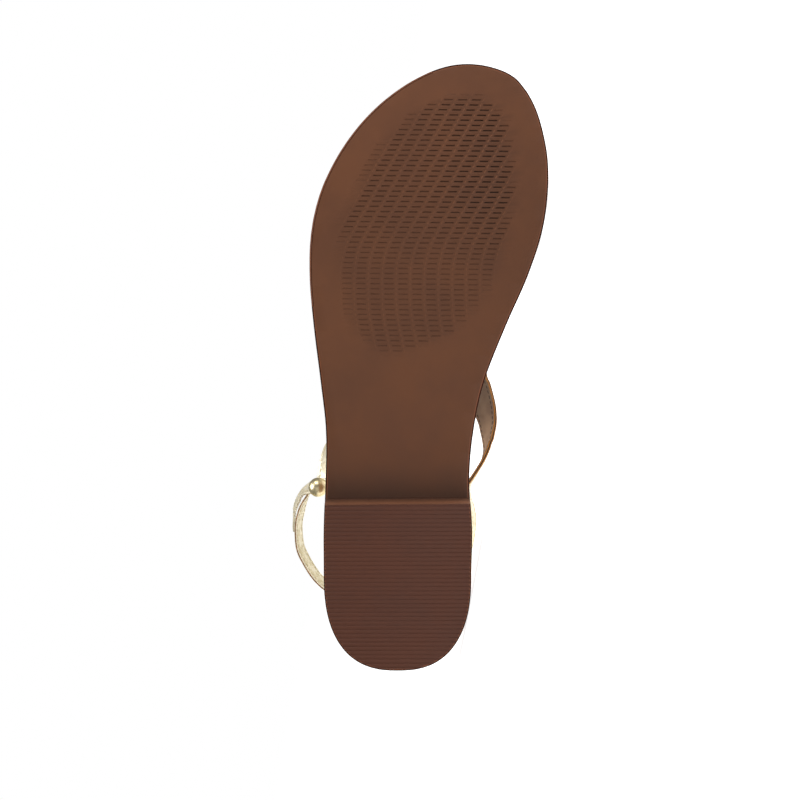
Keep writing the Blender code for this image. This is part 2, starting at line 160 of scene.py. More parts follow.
def lengths(line: np.ndarray) -> np.ndarray:
    """How far along a line of points each of them is."""
    return np.concatenate([[0.0], np.cumsum(np.linalg.norm(np.diff(line, axis=0), axis=1))])


def spaced(length: float, pitch: float) -> list[float]:
    """Even places along a length, half a pitch in from both ends."""
    count = int(length / pitch)
    return [(i + 0.5) * length / count for i in range(count)]


def point_at(line: np.ndarray, run: np.ndarray, here: float) -> list[float]:
    """A point on a line.

    Args:
        line: its points.
        run: how far along each of them is.
        here: how far along the wanted point is.

    Returns:
        The point's coordinates.
    """
    return [float(np.interp(here, run, line[:, k])) for k in range(line.shape[1])]


def cut(piece: bmesh.types.BMesh, tool: bmesh.types.BMesh, how: Cut, slots: int) -> bmesh.types.BMesh:
    """Cuts one closed solid with another. Faces keep their material slots.

    Args:
        piece: the solid that is cut, used up.
        tool: the solid that cuts it, used up.
        how: what is left.
        slots: number of material slots on both.

    Returns:
        The new solid.
    """
    made = []
    for bm in (piece, tool):
        mesh = bpy.data.meshes.new("blank")
        bm.to_mesh(mesh)
        bm.free()
        for _ in range(slots):
            mesh.materials.append(None)
        blank = bpy.data.objects.new("blank", mesh)
        bpy.context.scene.collection.objects.link(blank)
        made.append(blank)
    change = made[0].modifiers.new("cut", "BOOLEAN")
    change.operation, change.object, change.solver = how.value, made[1], "EXACT"
    bpy.context.view_layer.update()
    result = bmesh.new()
    result.from_object(made[0], bpy.context.evaluated_depsgraph_get())
    for blank in made:
        mesh = blank.data
        bpy.data.objects.remove(blank)
        bpy.data.meshes.remove(mesh)
    return result


def lengthen(bm: bmesh.types.BMesh, cap: bmesh.types.BMFace) -> bmesh.types.BMFace:
    """Extrudes the end of a closed or one-faced mesh, and leaves no face inside it.

    Args:
        bm: the mesh.
        cap: its end face.

    Returns:
        The new end, not moved yet.
    """
    inside = all(len(edge.link_faces) > 1 for edge in cap.edges)
    made = bmesh.ops.extrude_face_region(bm, geom=[cap])["geom"]
    if inside:
        bmesh.ops.delete(bm, geom=[cap], context="FACES_ONLY")
    return next(f for f in made if isinstance(f, bmesh.types.BMFace))


# How the shoe lies


@dataclass(frozen=True)
class Lay:
    """The shoe's place and turn in the frame, read from the two tread mounts."""

    heel_at: tuple[float, float, float] = (38.0, 0.0, 0.0)
    ball_at: tuple[float, float, float] = (165.0, 8.0, 0.0)

    def matrix(self, record: dict[str, Any]) -> Matrix:
        """Shoe millimetres to the frame's metres.

        Args:
            record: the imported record.

        Returns:
            A 4 by 4 matrix.
        """
        mounts = {m["name"]: m for m in record["mounts"]}
        heel = Vector(mounts["heel_tread"]["pos_m"])
        ball = Vector(mounts["ball_tread"]["pos_m"])
        up = -Vector(mounts["heel_tread"]["axis"]).normalized()
        run = ball - heel
        run = (run - up * run.dot(up)).normalized()
        own = Vector(self.ball_at) - Vector(self.heel_at)
        swing = math.atan2(own.y, own.x)
        forward = Matrix.Rotation(-swing, 3, up) @ run
        turn = Matrix((forward, up.cross(forward), up)).transposed()
        spot = heel - turn @ Vector(self.heel_at) * MM
        return Matrix.Translation(spot) @ turn.to_4x4() @ Matrix.Scale(MM, 4)


LAY = Lay().matrix(frame["record"])


def finish_piece(
    name: str,
    bm: bmesh.types.BMesh,
    finishes: Sequence[bpy.types.Material],
    stands_for: Sequence[str],
    crease: float = 32.0,
) -> bpy.types.Object:
    """Lays a drawn piece in the frame, as an object at the origin that rides on the shoe.

    Args:
        name: the piece's name.
        bm: its mesh in shoe millimetres, used up.
        finishes: materials in slot order.
        stands_for: CAD nodes that it replaces.
        crease: angle in degrees above which an edge stays sharp.

    Returns:
        The object.
    """
    bmesh.ops.transform(bm, matrix=LAY, verts=bm.verts)
    mesh = bpy.data.meshes.new(name)
    bm.to_mesh(mesh)
    bm.free()
    for finish in finishes:
        mesh.materials.append(finish)
    mesh.shade_smooth()
    mesh.set_sharp_from_angle(angle=math.radians(crease))
    made = bpy.data.objects.new(name, mesh)
    bpy.context.scene.collection.objects.link(made)
    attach(made, "root")
    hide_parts(*stands_for)
    log.info("%s: %d faces", name, len(mesh.polygons))
    return made


# Finishes


@dataclass(frozen=True)
class Finish:
    """A surface: two close shades in soft patches over a fine raised grain.

    Patch and grain are the real sizes of the pattern in millimetres. Where it is switched on, the mesh's
    attribute paints light and shade into the colour: lighter above zero, darker below.
    """

    name: str
    shade: str
    second: str
    rough: float
    patch: float
    grain: float
    relief: float
    metallic: float = 0.0
    coat: float = 0.0
    sheen: float = 0.0
    gloss: float = 0.5
    pebbled: bool = False
    has_painted_shading: bool = False

    def make(self) -> bpy.types.Material:
        """The material."""
        made = bpy.data.materials.new(self.name)
        made.use_nodes = True
        tree = made.node_tree
        shader = tree.nodes["Principled BSDF"]
        shader.inputs["Metallic"].default_value = self.metallic
        shader.inputs["Coat Weight"].default_value = self.coat
        shader.inputs["Coat Roughness"].default_value = 0.25
        shader.inputs["Sheen Weight"].default_value = self.sheen
        shader.inputs["Specular IOR Level"].default_value = self.gloss
        place = add_node(tree, "ShaderNodeTexCoord").outputs["Object"]
        # Soft patches of the second shade.
        patches = add_node(
            tree,
            "ShaderNodeTexNoise",
            inputs={"Vector": place, "Scale": 1 / (self.patch * MM), "Detail": 3.0, "Roughness": 0.55},
        )
        share = add_node(
            tree,
            "ShaderNodeMapRange",
            inputs={"Value": patches.outputs[0], "From Min": 0.35, "From Max": 0.65},
        )
        colour = add_node(
            tree,
            "ShaderNodeMix",
            {"data_type": "RGBA"},
            {0: share.outputs[0], 6: linear(self.shade), 7: linear(self.second)},
        )
        tint = colour.outputs[2]
        # Painted light and shade: the mesh's attribute scales the colour up or down.
        if self.has_painted_shading:
            painted_shading = add_node(tree, "ShaderNodeAttribute", {"attribute_name": "painted_shading"})
            added = {0: painted_shading.outputs["Fac"], 1: 1.0}
            lift = add_node(tree, "ShaderNodeMath", {"operation": "ADD"}, added)
            factors = {0: tint, "Scale": lift.outputs[0]}
            shaded = add_node(tree, "ShaderNodeVectorMath", {"operation": "SCALE"}, factors)
            tint = shaded.outputs[0]
        tree.links.new(tint, shader.inputs["Base Color"])
        # Patches are a little duller than what lies between them.
        dull = add_node(
            tree,
            "ShaderNodeMapRange",
            inputs={
                "Value": patches.outputs[0],
                "From Min": 0.3,
                "From Max": 0.7,
                "To Min": self.rough - 0.05,
                "To Max": self.rough + 0.05,
            },
        )
        tree.links.new(dull.outputs[0], shader.inputs["Roughness"])
        if not self.relief:
            return made
        if self.pebbled:
            grain = add_node(
                tree,
                "ShaderNodeTexVoronoi",
                {"feature": "SMOOTH_F1"},
                {"Vector": place, "Scale": 1 / (self.grain * MM), "Smoothness": 0.6},
            )
        else:
            grain = add_node(
                tree,
                "ShaderNodeTexNoise",
                inputs={"Vector": place, "Scale": 1 / (self.grain * MM), "Detail": 4.0},
            )
        bump = add_node(
            tree,
            "ShaderNodeBump",
            inputs={"Height": grain.outputs[0], "Distance": self.relief * MM, "Strength": 1.0},
        )
        tree.links.new(bump.outputs[0], shader.inputs["Normal"])
        return made


# Injection-moulded rubber: matt, a warm brown, with the mould's fine spark-eroded grain. Its mesh
# attribute paints light and shade over the tread.
SOLE_RUBBER = Finish(
    "moulded_sole_rubber", "52301C", "58341E", 0.6, 22.0, 0.5, 0.02, gloss=0.22, has_painted_shading=True
)
# The heel lift is a harder, slightly darker rubber.
HEEL_RUBBER = Finish("moulded_heel_rubber", "462619", "4A281A", 0.6, 18.0, 0.5, 0.02, gloss=0.22)
# The heel's front is smooth from the mould, and a little lighter than the heel, partly as painted light
# on the face turned to the lamp; its mesh attribute adds a painted highlight low and painted shade high.
FRONT_RUBBER = Finish(
    "smooth_heel_rubber", "5A3A28", "543524", 0.5, 9.0, 0.8, 0.02, gloss=0.3, has_painted_shading=True
)
# Bevel along the tread's rim: the rubber's warm orange brown, made lighter as a painted highlight on the
# rounded rim.
BEVEL_RUBBER = Finish("bevel_rubber_with_painted_highlight", "6C3A1C", "603218", 0.5, 9.0, 0.8, 0.02, gloss=0.3)
# Waxed edge paint, almost black where it has built up.
EDGE_WAX = Finish("waxed_edge_paint", "301609", "281207", 0.7, 9.0, 0.8, 0.02, gloss=0.05)
# Foil-coated leather, crinkled before it is foiled: pale gold with bright and dark facets.
GOLD_LEATHER = Finish("gold_foil_leather", "E4DCC6", "CDC2A2", 0.34, 3.0, 1.5, 0.22, metallic=0.3)
# The same foil on the sling's inner face, duller and darker.
GOLD_INSIDE = Finish("inner_gold_foil_leather", "CFC6A6", "B3A678", 0.42, 3.0, 1.5, 0.26, metallic=0.3)
# Buffed pig lining: matt taupe with open pores; its mesh attribute paints shade and light along a leg.
LINING = Finish("buffed_taupe_lining", "94755C", "A88B6F", 0.8, 6.0, 0.35, 0.03, sheen=0.2, has_painted_shading=True)
# Cut edge of the strap, painted old gold.
EDGE_GOLD = Finish("old_gold_edge_paint", "AE701C", "8F5A18", 0.35, 2.5, 0.4, 0.03, metallic=0.35)
# Cut edge of a strap that is foiled on both faces.
EDGE_PALE = Finish("pale_gold_edge", "E0D8C2", "D2C8AE", 0.4, 2.5, 0.4, 0.03, metallic=0.4)
# The glued joint between the two plies.
GLUE_LINE = Finish("dark_glue_line", "26190C", "302010", 0.7, 2.0, 0.3, 0.02)
# Waxed polyester thread.
THREAD_GOLD = Finish("pale_gold_thread", "D8CBA6", "C6B78E", 0.5, 1.0, 0.25, 0.03)
THREAD_BROWN = Finish("dark_brown_thread", "302318", "281D13", 0.6, 1.0, 0.25, 0.03)
THREAD_TAN = Finish("tan_thread", "CDBF9A", "BDAE88", 0.6, 1.0, 0.25, 0.03)
# Vegetable-tanned sheep over foam: warm tan with rounded pebbles.
FOOTBED_LEATHER = Finish(
    "pebbled_footbed_leather", "A67C55", "9A7049", 0.58, 14.0, 0.9, 0.05, coat=0.05, pebbled=True
)
# Fibre board under the footbed's cover.
BOARD = Finish("brown_insole_board", "6E4E38", "5F4230", 0.75, 5.0, 0.3, 0.03)
# Turned and polished brass: almost a mirror, with faint handling marks.
BRASS = Finish("polished_brass", "E4D6AE", "D8C89C", 0.34, 2.0, 0.6, 0.0, metallic=1.0)


@dataclass
class Finishes:
    """The materials, made once."""

    sole: bpy.types.Material
    heel: bpy.types.Material
    front: bpy.types.Material
    bevel: bpy.types.Material
    wax: bpy.types.Material
    gold: bpy.types.Material
    gold_inside: bpy.types.Material
    lining: bpy.types.Material
    edge_gold: bpy.types.Material
    edge_pale: bpy.types.Material
    glue: bpy.types.Material
    thread_gold: bpy.types.Material
    thread_brown: bpy.types.Material
    thread_tan: bpy.types.Material
    footbed: bpy.types.Material
    board: bpy.types.Material
    brass: bpy.types.Material

    @property
    def sole_layers(self) -> tuple[bpy.types.Material, ...]:
        """Materials of the outsole, in the order of SoleSide."""
        return (self.sole, self.wax, self.front, self.bevel)

    @property
    def heel_layers(self) -> tuple[bpy.types.Material, ...]:
        """Materials of the heel block, in the order of SoleSide."""
        return (self.heel, self.wax, self.front, self.bevel)

    @property
    def strap(self) -> tuple[bpy.types.Material, ...]:
        """Materials of a lined strap, in the order of Ply."""
        return (self.gold, self.lining, self.edge_gold, self.glue)

    @property
    def sling(self) -> tuple[bpy.types.Material, ...]:
        """Materials of a strap that is gold on both faces."""
        return (self.gold, self.gold_inside, self.edge_pale, self.edge_gold)

    @property
    def button(self) -> tuple[bpy.types.Material, ...]:
        """Materials of the buttonhole end, whose edge is foiled with its faces."""
        return (self.gold, self.gold, self.edge_pale, self.edge_pale)


# The sole's form


@dataclass(frozen=True)
class SoleForm:
    """Plan and side view of the sole, in millimetres."""

    length: float = 247.9
    heel_width: float = 60.4
    heel_round: float = 40.0
    heel_roundness: float = 2.5
    heel_block: float = 70.0
    heel_height: float = 9.5
    flat_start: float = 143.0
    flat_end: float = 188.0
    toe_spring: float = 6.0
    sole: float = 4.0
    gap: float = 0.3
    stations: int = 150
    halvings: int = 30
    #   forward, lateral, medial
    sides: tuple[tuple[float, float, float], ...] = (
        (40.0, -30.2, 30.2),
        (58.0, -30.2, 30.5),
        (78.0, -29.5, 29.4),
        (98.0, -29.3, 31.1),
        (118.0, -31.4, 35.4),
        (140.0, -34.1, 43.9),
        (160.0, -35.8, 52.7),
        (178.0, -35.3, 58.7),
        (194.0, -31.8, 61.2),
        (208.0, -25.5, 61.3),
        (220.0, -17.6, 59.3),
        (230.0, -8.5, 56.2),
        (238.4, 2.1, 51.4),
        (244.0, 12.1, 45.2),
        (247.9, 28.6, 28.6),
    )

    def bottom(self, x: float) -> float:
        """Height of the sole's underside: heel seat, falling shank, flat ball and rising toe."""
        if x < self.flat_start:
            fall = (x - self.heel_block) / (self.flat_start - self.heel_block)
            return self.heel_height * (1 - ease(fall))
        rise = max(0.0, (x - self.flat_end) / (self.length - self.flat_end))
        return self.toe_spring * rise**2

    def edges(self, x: float) -> tuple[float, float]:
        """Lateral and medial edge at x."""
        if x < self.heel_round:
            back = (self.heel_round - x) / self.heel_round
            half = (1 - back**self.heel_roundness) ** (1 / self.heel_roundness) * self.heel_width / 2
            return -half, half
        # The toe is round, so its width grows with the square root of the way from the tip.
        rows = [(math.sqrt(self.length - r[0]), r[1], r[2]) for r in self.sides]
        wanted = math.sqrt(max(0.0, self.length - x))
        low, high = 0.0, float(len(rows) - 1)
        for _ in range(self.halvings):
            middle = (low + high) / 2
            if through(rows, middle)[0] > wanted:
                low = middle
            else:
                high = middle
        _, lateral, medial = through(rows, low)
        return float(lateral), float(medial)

    def loop(self) -> np.ndarray:
        """The closed outline, anticlockwise seen from above."""
        turns = [math.pi * (i + 0.5) / self.stations for i in range(self.stations)]
        xs = [self.length * (1 - math.cos(t)) / 2 for t in turns]
        pairs = [self.edges(x) for x in xs]
        lateral = [(x, e[0]) for x, e in zip(xs, pairs)]
        medial = [(x, e[1]) for x, e in zip(xs, pairs)]
        return np.array([(0.0, 0.0), *lateral, (self.length, self.sides[-1][1]), *medial[::-1]])


@dataclass
class SoleMaker:
    """Makes the layers of the sole from one outline."""

    form: SoleForm
    ripple: float = 0.0004
    ripple_rates: tuple[float, float] = (7.0, 5.0)
    reach: float = 30.0
    outline: np.ndarray = field(init=False)
    inward: np.ndarray = field(init=False)

    def __post_init__(self) -> None:
        """Works the outline out once."""
        self.outline = self.form.loop()
        run = np.roll(self.outline, -1, 0) - np.roll(self.outline, 1, 0)
        self.inward = np.stack([-run[:, 1], run[:, 0]], 1) / np.linalg.norm(run, axis=1)[:, None]

    def inset(self, by: float) -> np.ndarray:
        """The outline moved in by a distance."""
        return self.outline + self.inward * by

    def prism(
        self, levels: Sequence[tuple[float, float, int]], lift: Callable[[float], float]
    ) -> bmesh.types.BMesh:
        """A closed solid with the outline's shape and a side profile, flat at both ends.

        Args:
            levels: inset, height and material slot of the side below, from the bottom up.
            lift: height that is added at each place along the shoe.

        Returns:
            The solid.
        """
        bm = bmesh.new()
        station = bm.verts.layers.int.new("station")
        count = len(self.outline)
        bmesh.ops.create_circle(bm, cap_ends=True, segments=count, radius=1.0)
        for vert in bm.verts:
            turn = math.atan2(vert.co.y, vert.co.x) / (2 * math.pi)
            vert[station] = round(turn * count) % count
        bm.faces.ensure_lookup_table()
        cap = bm.faces[0]
        ends = ((levels[0][0], -self.reach, 0), (levels[-1][0], self.reach, levels[-1][2]))
        for number, (inset, height, slot) in enumerate((ends[0], *levels, ends[1])):
            if number:
                cap = lengthen(bm, cap)
            loop = self.inset(inset)
            for vert in cap.verts:
                x, y = loop[vert[station]]
                vert.co = (x, y, height if abs(height) == self.reach else height + lift(x))
            for side in {f for v in cap.verts for f in v.link_faces if f is not cap}:
                side.material_index = slot
        bmesh.ops.recalc_face_normals(bm, faces=bm.faces)
        return bm

    def plate(
        self,
        columns: int,
        rows: int,
        place: Callable[[float, float], Vector],
        top: Callable[[float, float], float],
    ) -> tuple[bmesh.types.BMesh, list[bmesh.types.BMFace]]:
        """A closed plate of cells that is larger than the sole.

        Args:
            columns: cells along the shoe.
            rows: cells across it.
            place: bottom corner from two shares between 0 and 1.
            top: height of its upper face.

        Returns:
            The plate, and the faces of its bottom.
        """
        bm = bmesh.new()
        bmesh.ops.create_grid(bm, x_segments=columns, y_segments=rows, size=1.0)
        bottom = list(bm.faces)
        for vert in bm.verts:
            vert.co = place((vert.co.x + 1) / 2, (vert.co.y + 1) / 2)
        made = bmesh.ops.extrude_face_region(bm, geom=bottom, use_keep_orig=True)["geom"]
        for vert in made:
            if isinstance(vert, bmesh.types.BMVert):
                vert.co.z = top(vert.co.x, vert.co.y)
        # A ripple far too fine to see keeps cells out of one plane, so that the cut doesn't merge them.
        fore, side = self.ripple_rates
        for vert in bm.verts:
            vert.co.z += self.ripple * math.sin(fore * vert.co.x) * math.sin(side * vert.co.y)
        bmesh.ops.recalc_face_normals(bm, faces=bm.faces)
        return bm, bottom


class SoleSide(IntEnum):
    """Material slots of a sole layer."""

    FACE = 0
    EDGE = 1
    FRONT = 2
    BEVEL = 3


@dataclass(frozen=True)
class TreadPaintedShading:
    """Painted light and shade on the tread, as shares of its colour. Above zero is lighter."""

    # painted shade before the heel, deepest in the corner at it
    shank: float = -0.22
    corner: float = -0.3
    corner_power: int = 6
    # painted light on the toe, painted shade on the inner side, and the pressed patch a little darker
    toe: float = 0.09
    medial: float = -0.1
    patch: float = -0.1
    # painted highlight on the crests, and painted shade on the kerbs, the lands and in the dashes
    crest: float = 1.5
    kerb: float = -0.3
    land: float = -0.1
    dash: float = -0.5


@dataclass
class Outsole:
    """Thin moulded sole with a soft-edged patch of pressed dashes under the ball of the foot."""

    maker: SoleMaker
    shades: TreadPaintedShading = TreadPaintedShading()
    #   the grid of cells, larger than the sole: margin is the room at both ends together, and each
    #   period across holds a dash and a lane
    row_pitch: float = 2.1
    dash_cell: float = 5.4
    gap_cell: float = 0.3
    margin: float = 8.0
    periods: int = 30
    start: float = -3.0
    side: float = -86.0
    tilt: float = 0.012
    #   lean of the columns, which is upright where both ramps start
    toe_lean: float = 0.56
    toe_ramp: Ramp = Ramp(157.0, 25.0)
    shank_lean: float = 0.22
    shank_ramp: Ramp = Ramp(157.0, -22.0)
    drift_step: float = 0.5
    #   widths of the bands round a dash, and heights
    kerb: float = 0.1
    land: float = 0.66
    slope: float = 0.13
    proud: float = 0.05
    crest: float = 0.14
    depth: float = 0.55
    #   the press: soft at the patch's edge, and hardest under the big toe
    fade: Ramp = Ramp(-1.0, 7.0)
    faint: float = 0.02
    firm_least: float = 0.3
    firm_forward: Ramp = Ramp(162.0, 38.0)
    firm_side: Ramp = Ramp(6.0, 32.0)
    firm_lateral: float = 0.35
    #   where the painted shading changes: reach of the painted shade before the heel, ramps of the
    #   painted light on the toe and the painted shade on the inner side, and the shares of their height
    #   above which a crest gets its painted highlight or a kerb its painted shade
    hollow: float = 34.0
    toe_light_ramp: Ramp = Ramp(170.0, 60.0)
    medial_shade_ramp: Ramp = Ramp(20.0, 35.0)
    on_crest: float = 0.6
    on_kerb: float = 0.3
    #   the outer toe edge where the edge and bevel finishes swap for a painted lit rim: its back end,
    #   inner limit, and height over the underside
    lit_rim_start: float = 150.0
    lit_rim_side: float = 14.0
    lit_rim_height: float = 1.2
    #   forward, lateral, medial limit of the patch
    patch: tuple[tuple[float, float, float], ...] = (
        (127.0, -4.0, 0.0),
        (130.0, -9.0, 6.0),
        (134.0, -14.5, 16.0),
        (138.0, -18.5, 25.0),
        (145.0, -23.0, 31.5),
        (155.0, -25.0, 39.0),
        (171.0, -25.5, 45.0),
        (183.0, -25.0, 47.0),
        (195.0, -18.5, 48.6),
        (204.0, -15.3, 48.6),
        (214.0, -9.5, 47.2),
        (223.0, 1.0, 46.0),
        (227.0, 3.5, 44.0),
        (231.0, 11.0, 40.0),
        (236.0, 22.0, 34.0),
    )
    #   inset, height above the underside, side below
    rim: tuple[tuple[float, float, SoleSide], ...] = (
        (1.8, -0.4, SoleSide.BEVEL),
        (0.6, 0.14, SoleSide.BEVEL),
        (0.22, 0.38, SoleSide.EDGE),
        (0.0, 0.85, SoleSide.EDGE),
        (0.0, 3.3, SoleSide.EDGE),
        (0.3, 3.8, SoleSide.EDGE),
        (1.5, 5.0, SoleSide.EDGE),
    )

    def drift(self, x: float) -> float:
        """Sideways shift of the columns at x: slanting under the toes, upright under the ball."""
        total, at = 0.0, self.toe_ramp.start
        step = self.drift_step if x > at else -self.drift_step
        while (x - at) * step > 0:
            lean = self.toe_lean * self.toe_ramp.at(at) - self.shank_lean * self.shank_ramp.at(at)
            total += lean * step
            at += step
        return total

    def strength(self, x: float, y: float) -> float:
        """How deep the pattern is pressed at a point, from 0 outside the patch to 1."""
        forward = [row[0] for row in self.patch]
        if not forward[0] < x < forward[-1]:
            return 0.0
        lateral = np.interp(x, forward, [row[1] for row in self.patch])
        medial = np.interp(x, forward, [row[2] for row in self.patch])
        inside = min(y - lateral, medial - y, x - forward[0], forward[-1] - x)
        sideways = self.firm_lateral + (1 - self.firm_lateral) * self.firm_side.at(y)
        firm = self.firm_forward.at(x) * sideways
        return self.fade.at(inside) * (self.firm_least + (1 - self.firm_least) * firm)

    def painted_shading(self, spot: Vector) -> float:
        """Painted light and shade at a point: painted highlight on the crests and the toe, painted shade
        in the dashes, on the inner side and before the heel.
        """
        form, shades = self.maker.form, self.shades
        sunk = spot.z - form.bottom(spot.x)
        press = self.strength(spot.x, spot.y)
        near = ease(1 - (spot.x - form.heel_block) / self.hollow)
        painted_shading = shades.shank * near + shades.corner * near**shades.corner_power
        painted_shading += shades.toe * self.toe_light_ramp.at(spot.x) + shades.medial * self.medial_shade_ramp.at(spot.y)
        painted_shading += shades.patch * min(1.0, press / self.firm_least)
        if press > self.faint and sunk < self.depth + self.proud:
            if sunk < -self.on_crest * self.crest * press:
                painted_shading += shades.crest * press
            else:
                on_kerb = sunk < -self.on_kerb * self.proud * press
                painted_shading += (shades.kerb if on_kerb else shades.land) * press
            painted_shading += shades.dash * min(1.0, max(0.0, sunk) / self.depth)
        return painted_shading

    def build(self, finishes: Finishes) -> bpy.types.Object:
        """Builds the piece.

        Args:
            finishes: the materials.

        Returns:
            The object.
        """
        form = self.maker.form
        columns = math.ceil((form.length + self.margin) / self.row_pitch)
        halves = 2 * self.periods
        period = self.dash_cell + self.gap_cell
        drifts = [self.drift(self.start + i * self.row_pitch) for i in range(columns + 1)]

        def place(u: float, v: float) -> Vector:
            line, half = round(u * columns), round(v * halves)
            y = self.side + half // 2 * period + (self.dash_cell if half % 2 else 0.0) + drifts[line]
            x = self.start + line * self.row_pitch - self.tilt * y
            return Vector((x, y, form.bottom(x)))

        bm, bottom = self.maker.plate(columns, halves, place, lambda x, y: form.bottom(x) + form.sole)
        dashes, lanes = [], []
        for pane in bottom:
            middle = pane.calc_center_median()
            spans = [(e.calc_length(), abs((e.verts[0].co - e.verts[1].co).x)) for e in pane.edges]
            across = max(length for length, forward in spans if forward < self.row_pitch / 2)
            if self.strength(middle.x, middle.y) > self.faint:
                (dashes if across > self.gap_cell * 2 else lanes).append(pane)
        # A low point stands in the lane at the end of each dash.
        for vert in bmesh.ops.poke(bm, faces=lanes)["verts"]:
            vert.co.z -= self.crest * self.strength(vert.co.x, vert.co.y)
        corners = {v for pane in dashes for v in pane.verts}
        for thickness in (self.kerb, self.land, self.slope):
            bmesh.ops.inset_individual(bm, faces=dashes, thickness=thickness, use_even_offset=True)
        for vert in corners:
            vert.co.z -= self.proud * self.strength(vert.co.x, vert.co.y)
        for pane in dashes:
            middle = pane.calc_center_median()
            for vert in pane.verts:
                vert.co.z += self.depth * self.strength(middle.x, middle.y)
        bm = cut(bm, self.maker.prism(self.rim, form.bottom), Cut.KEEP_INSIDE, len(SoleSide))
        # On the outer toe edge the edge and bevel finishes swap: a painted highlight along the lit rim,
        # and a dark line of painted shade inside it.
        lit_rim_swap = {SoleSide.EDGE: SoleSide.BEVEL, SoleSide.BEVEL: SoleSide.EDGE}
        for pane in bm.faces:
            middle = pane.calc_center_median()
            low = middle.z < form.bottom(middle.x) + self.lit_rim_height
            if middle.x > self.lit_rim_start and middle.y < self.lit_rim_side and low:
                pane.material_index = lit_rim_swap.get(SoleSide(pane.material_index), pane.material_index)
        # Painted light and shade over the tread, carried by a vertex attribute.
        layer = bm.verts.layers.float.new("painted_shading")
        for vert in bm.verts:
            vert[layer] = self.painted_shading(vert.co)
        return finish_piece("tread_sole", bm, finishes.sole_layers, ("outsole",))


@dataclass
class HeelBlock:
    """Low heel block with straight ribs across its tread and a slanting front."""

    maker: SoleMaker
    rib_pitch: float = 1.73
    rib_depth: float = 0.3
    rib_turn: float = math.radians(0.3)
    front_turn: float = math.radians(0.5)
    slant: float = 2.1
    inset: float = 0.1
    joint: float = 0.02
    #   the plate that it is cut from: room beyond both ends and width, and how far above it the
    #   cutting solid's rim goes
    margin: float = 3.0
    plate_width: float = 80.0
    over: float = 1.0
    #   share of the groove's depth at eight even places across a rib
    rib: tuple[float, ...] = (0.0, 0.0, 0.2, 0.6, 1.0, 0.6, 0.2, 0.0)
    #   inset beyond the block's own, height, side below
    rim: tuple[tuple[float, float, SoleSide], ...] = (
        (1.6, -0.4, SoleSide.BEVEL),
        (0.45, 0.14, SoleSide.BEVEL),
        (0.0, 0.5, SoleSide.EDGE),
    )
    #   the front's painted light and shade: height of the lit band, the height where it is gone as a
    #   multiple, and the shares of painted highlight and painted shade
    front_light_height: float = 3.3
    front_light_fade: float = 1.6
    front_highlight: float = 0.5
    front_shade: float = -0.45

    def build(self, finishes: Finishes) -> bpy.types.Object:
        """Builds the piece.

        Args:
            finishes: the materials.

        Returns:
            The object.
        """
        form = self.maker.form
        ribs = math.ceil((form.heel_block + 2 * self.margin) / self.rib_pitch)
        columns = ribs * len(self.rib)

        def place(u: float, v: float) -> Vector:
            line = round(u * columns)
            depth = self.rib[line % len(self.rib)] * self.rib_depth
            y = (v - 0.5) * self.plate_width
            x = line * self.rib_pitch / len(self.rib) - self.margin + y * math.tan(self.rib_turn)
            return Vector((x, y, depth))

        top = form.heel_height - self.joint
        bm, _ = self.maker.plate(columns, 1, place, lambda x, y: top)
        rim = [(self.inset + by, height, side) for by, height, side in self.rim]
        rim.append((self.inset, top + self.over, SoleSide.EDGE))
        bm = cut(bm, self.maker.prism(rim, lambda x: 0.0), Cut.KEEP_INSIDE, len(SoleSide))
        sideways = -form.heel_height * math.tan(self.front_turn)
        front = Vector((form.heel_height, sideways, -self.slant)).normalized()
        shorn = bmesh.ops.bisect_plane(
            bm,
            geom=bm.verts[:] + bm.edges[:] + bm.faces[:],
            plane_co=(form.heel_block - self.slant, 0.0, 0.0),
            plane_no=front,
            clear_outer=True,
        )
        rim_edges = [e for e in shorn["geom_cut"] if isinstance(e, bmesh.types.BMEdge)]
        front_panes = bmesh.ops.holes_fill(bm, edges=rim_edges, sides=0)["faces"]
        for pane in front_panes:
            pane.material_index = SoleSide.FRONT
        # The front gets a painted highlight along the ground, and painted shade up under the sole.
        front_shading_geom = [
            *front_panes,
            *{e for f in front_panes for e in f.edges},
            *{v for f in front_panes for v in f.verts},
        ]
        light, gone, dark = self.front_light_height, self.front_light_height * self.front_light_fade, top - self.front_light_height
        for height in (light, gone, dark):
            front_shading_geom = bmesh.ops.bisect_plane(
                bm, geom=front_shading_geom, plane_co=(0, 0, height), plane_no=(0, 0, 1)
            )["geom"]
        layer = bm.verts.layers.float.new("painted_shading")
        for vert in bm.verts:
            high = ease((vert.co.z - dark) / self.front_light_height)
            vert[layer] = self.front_highlight if vert.co.z < (light + gone) / 2 else self.front_shade * high
        bmesh.ops.recalc_face_normals(bm, faces=bm.faces)
        return finish_piece("ribbed_heel", bm, finishes.heel_layers, ("heel_block",))


# The straps' form


class Ply(IntEnum):
    """Material slots of a strap."""

    OUTER = 0
    LINING = 1
    EDGE = 2
    GLUE = 3


MIDDLE = 99.0  # an inset that ends at the strap's middle
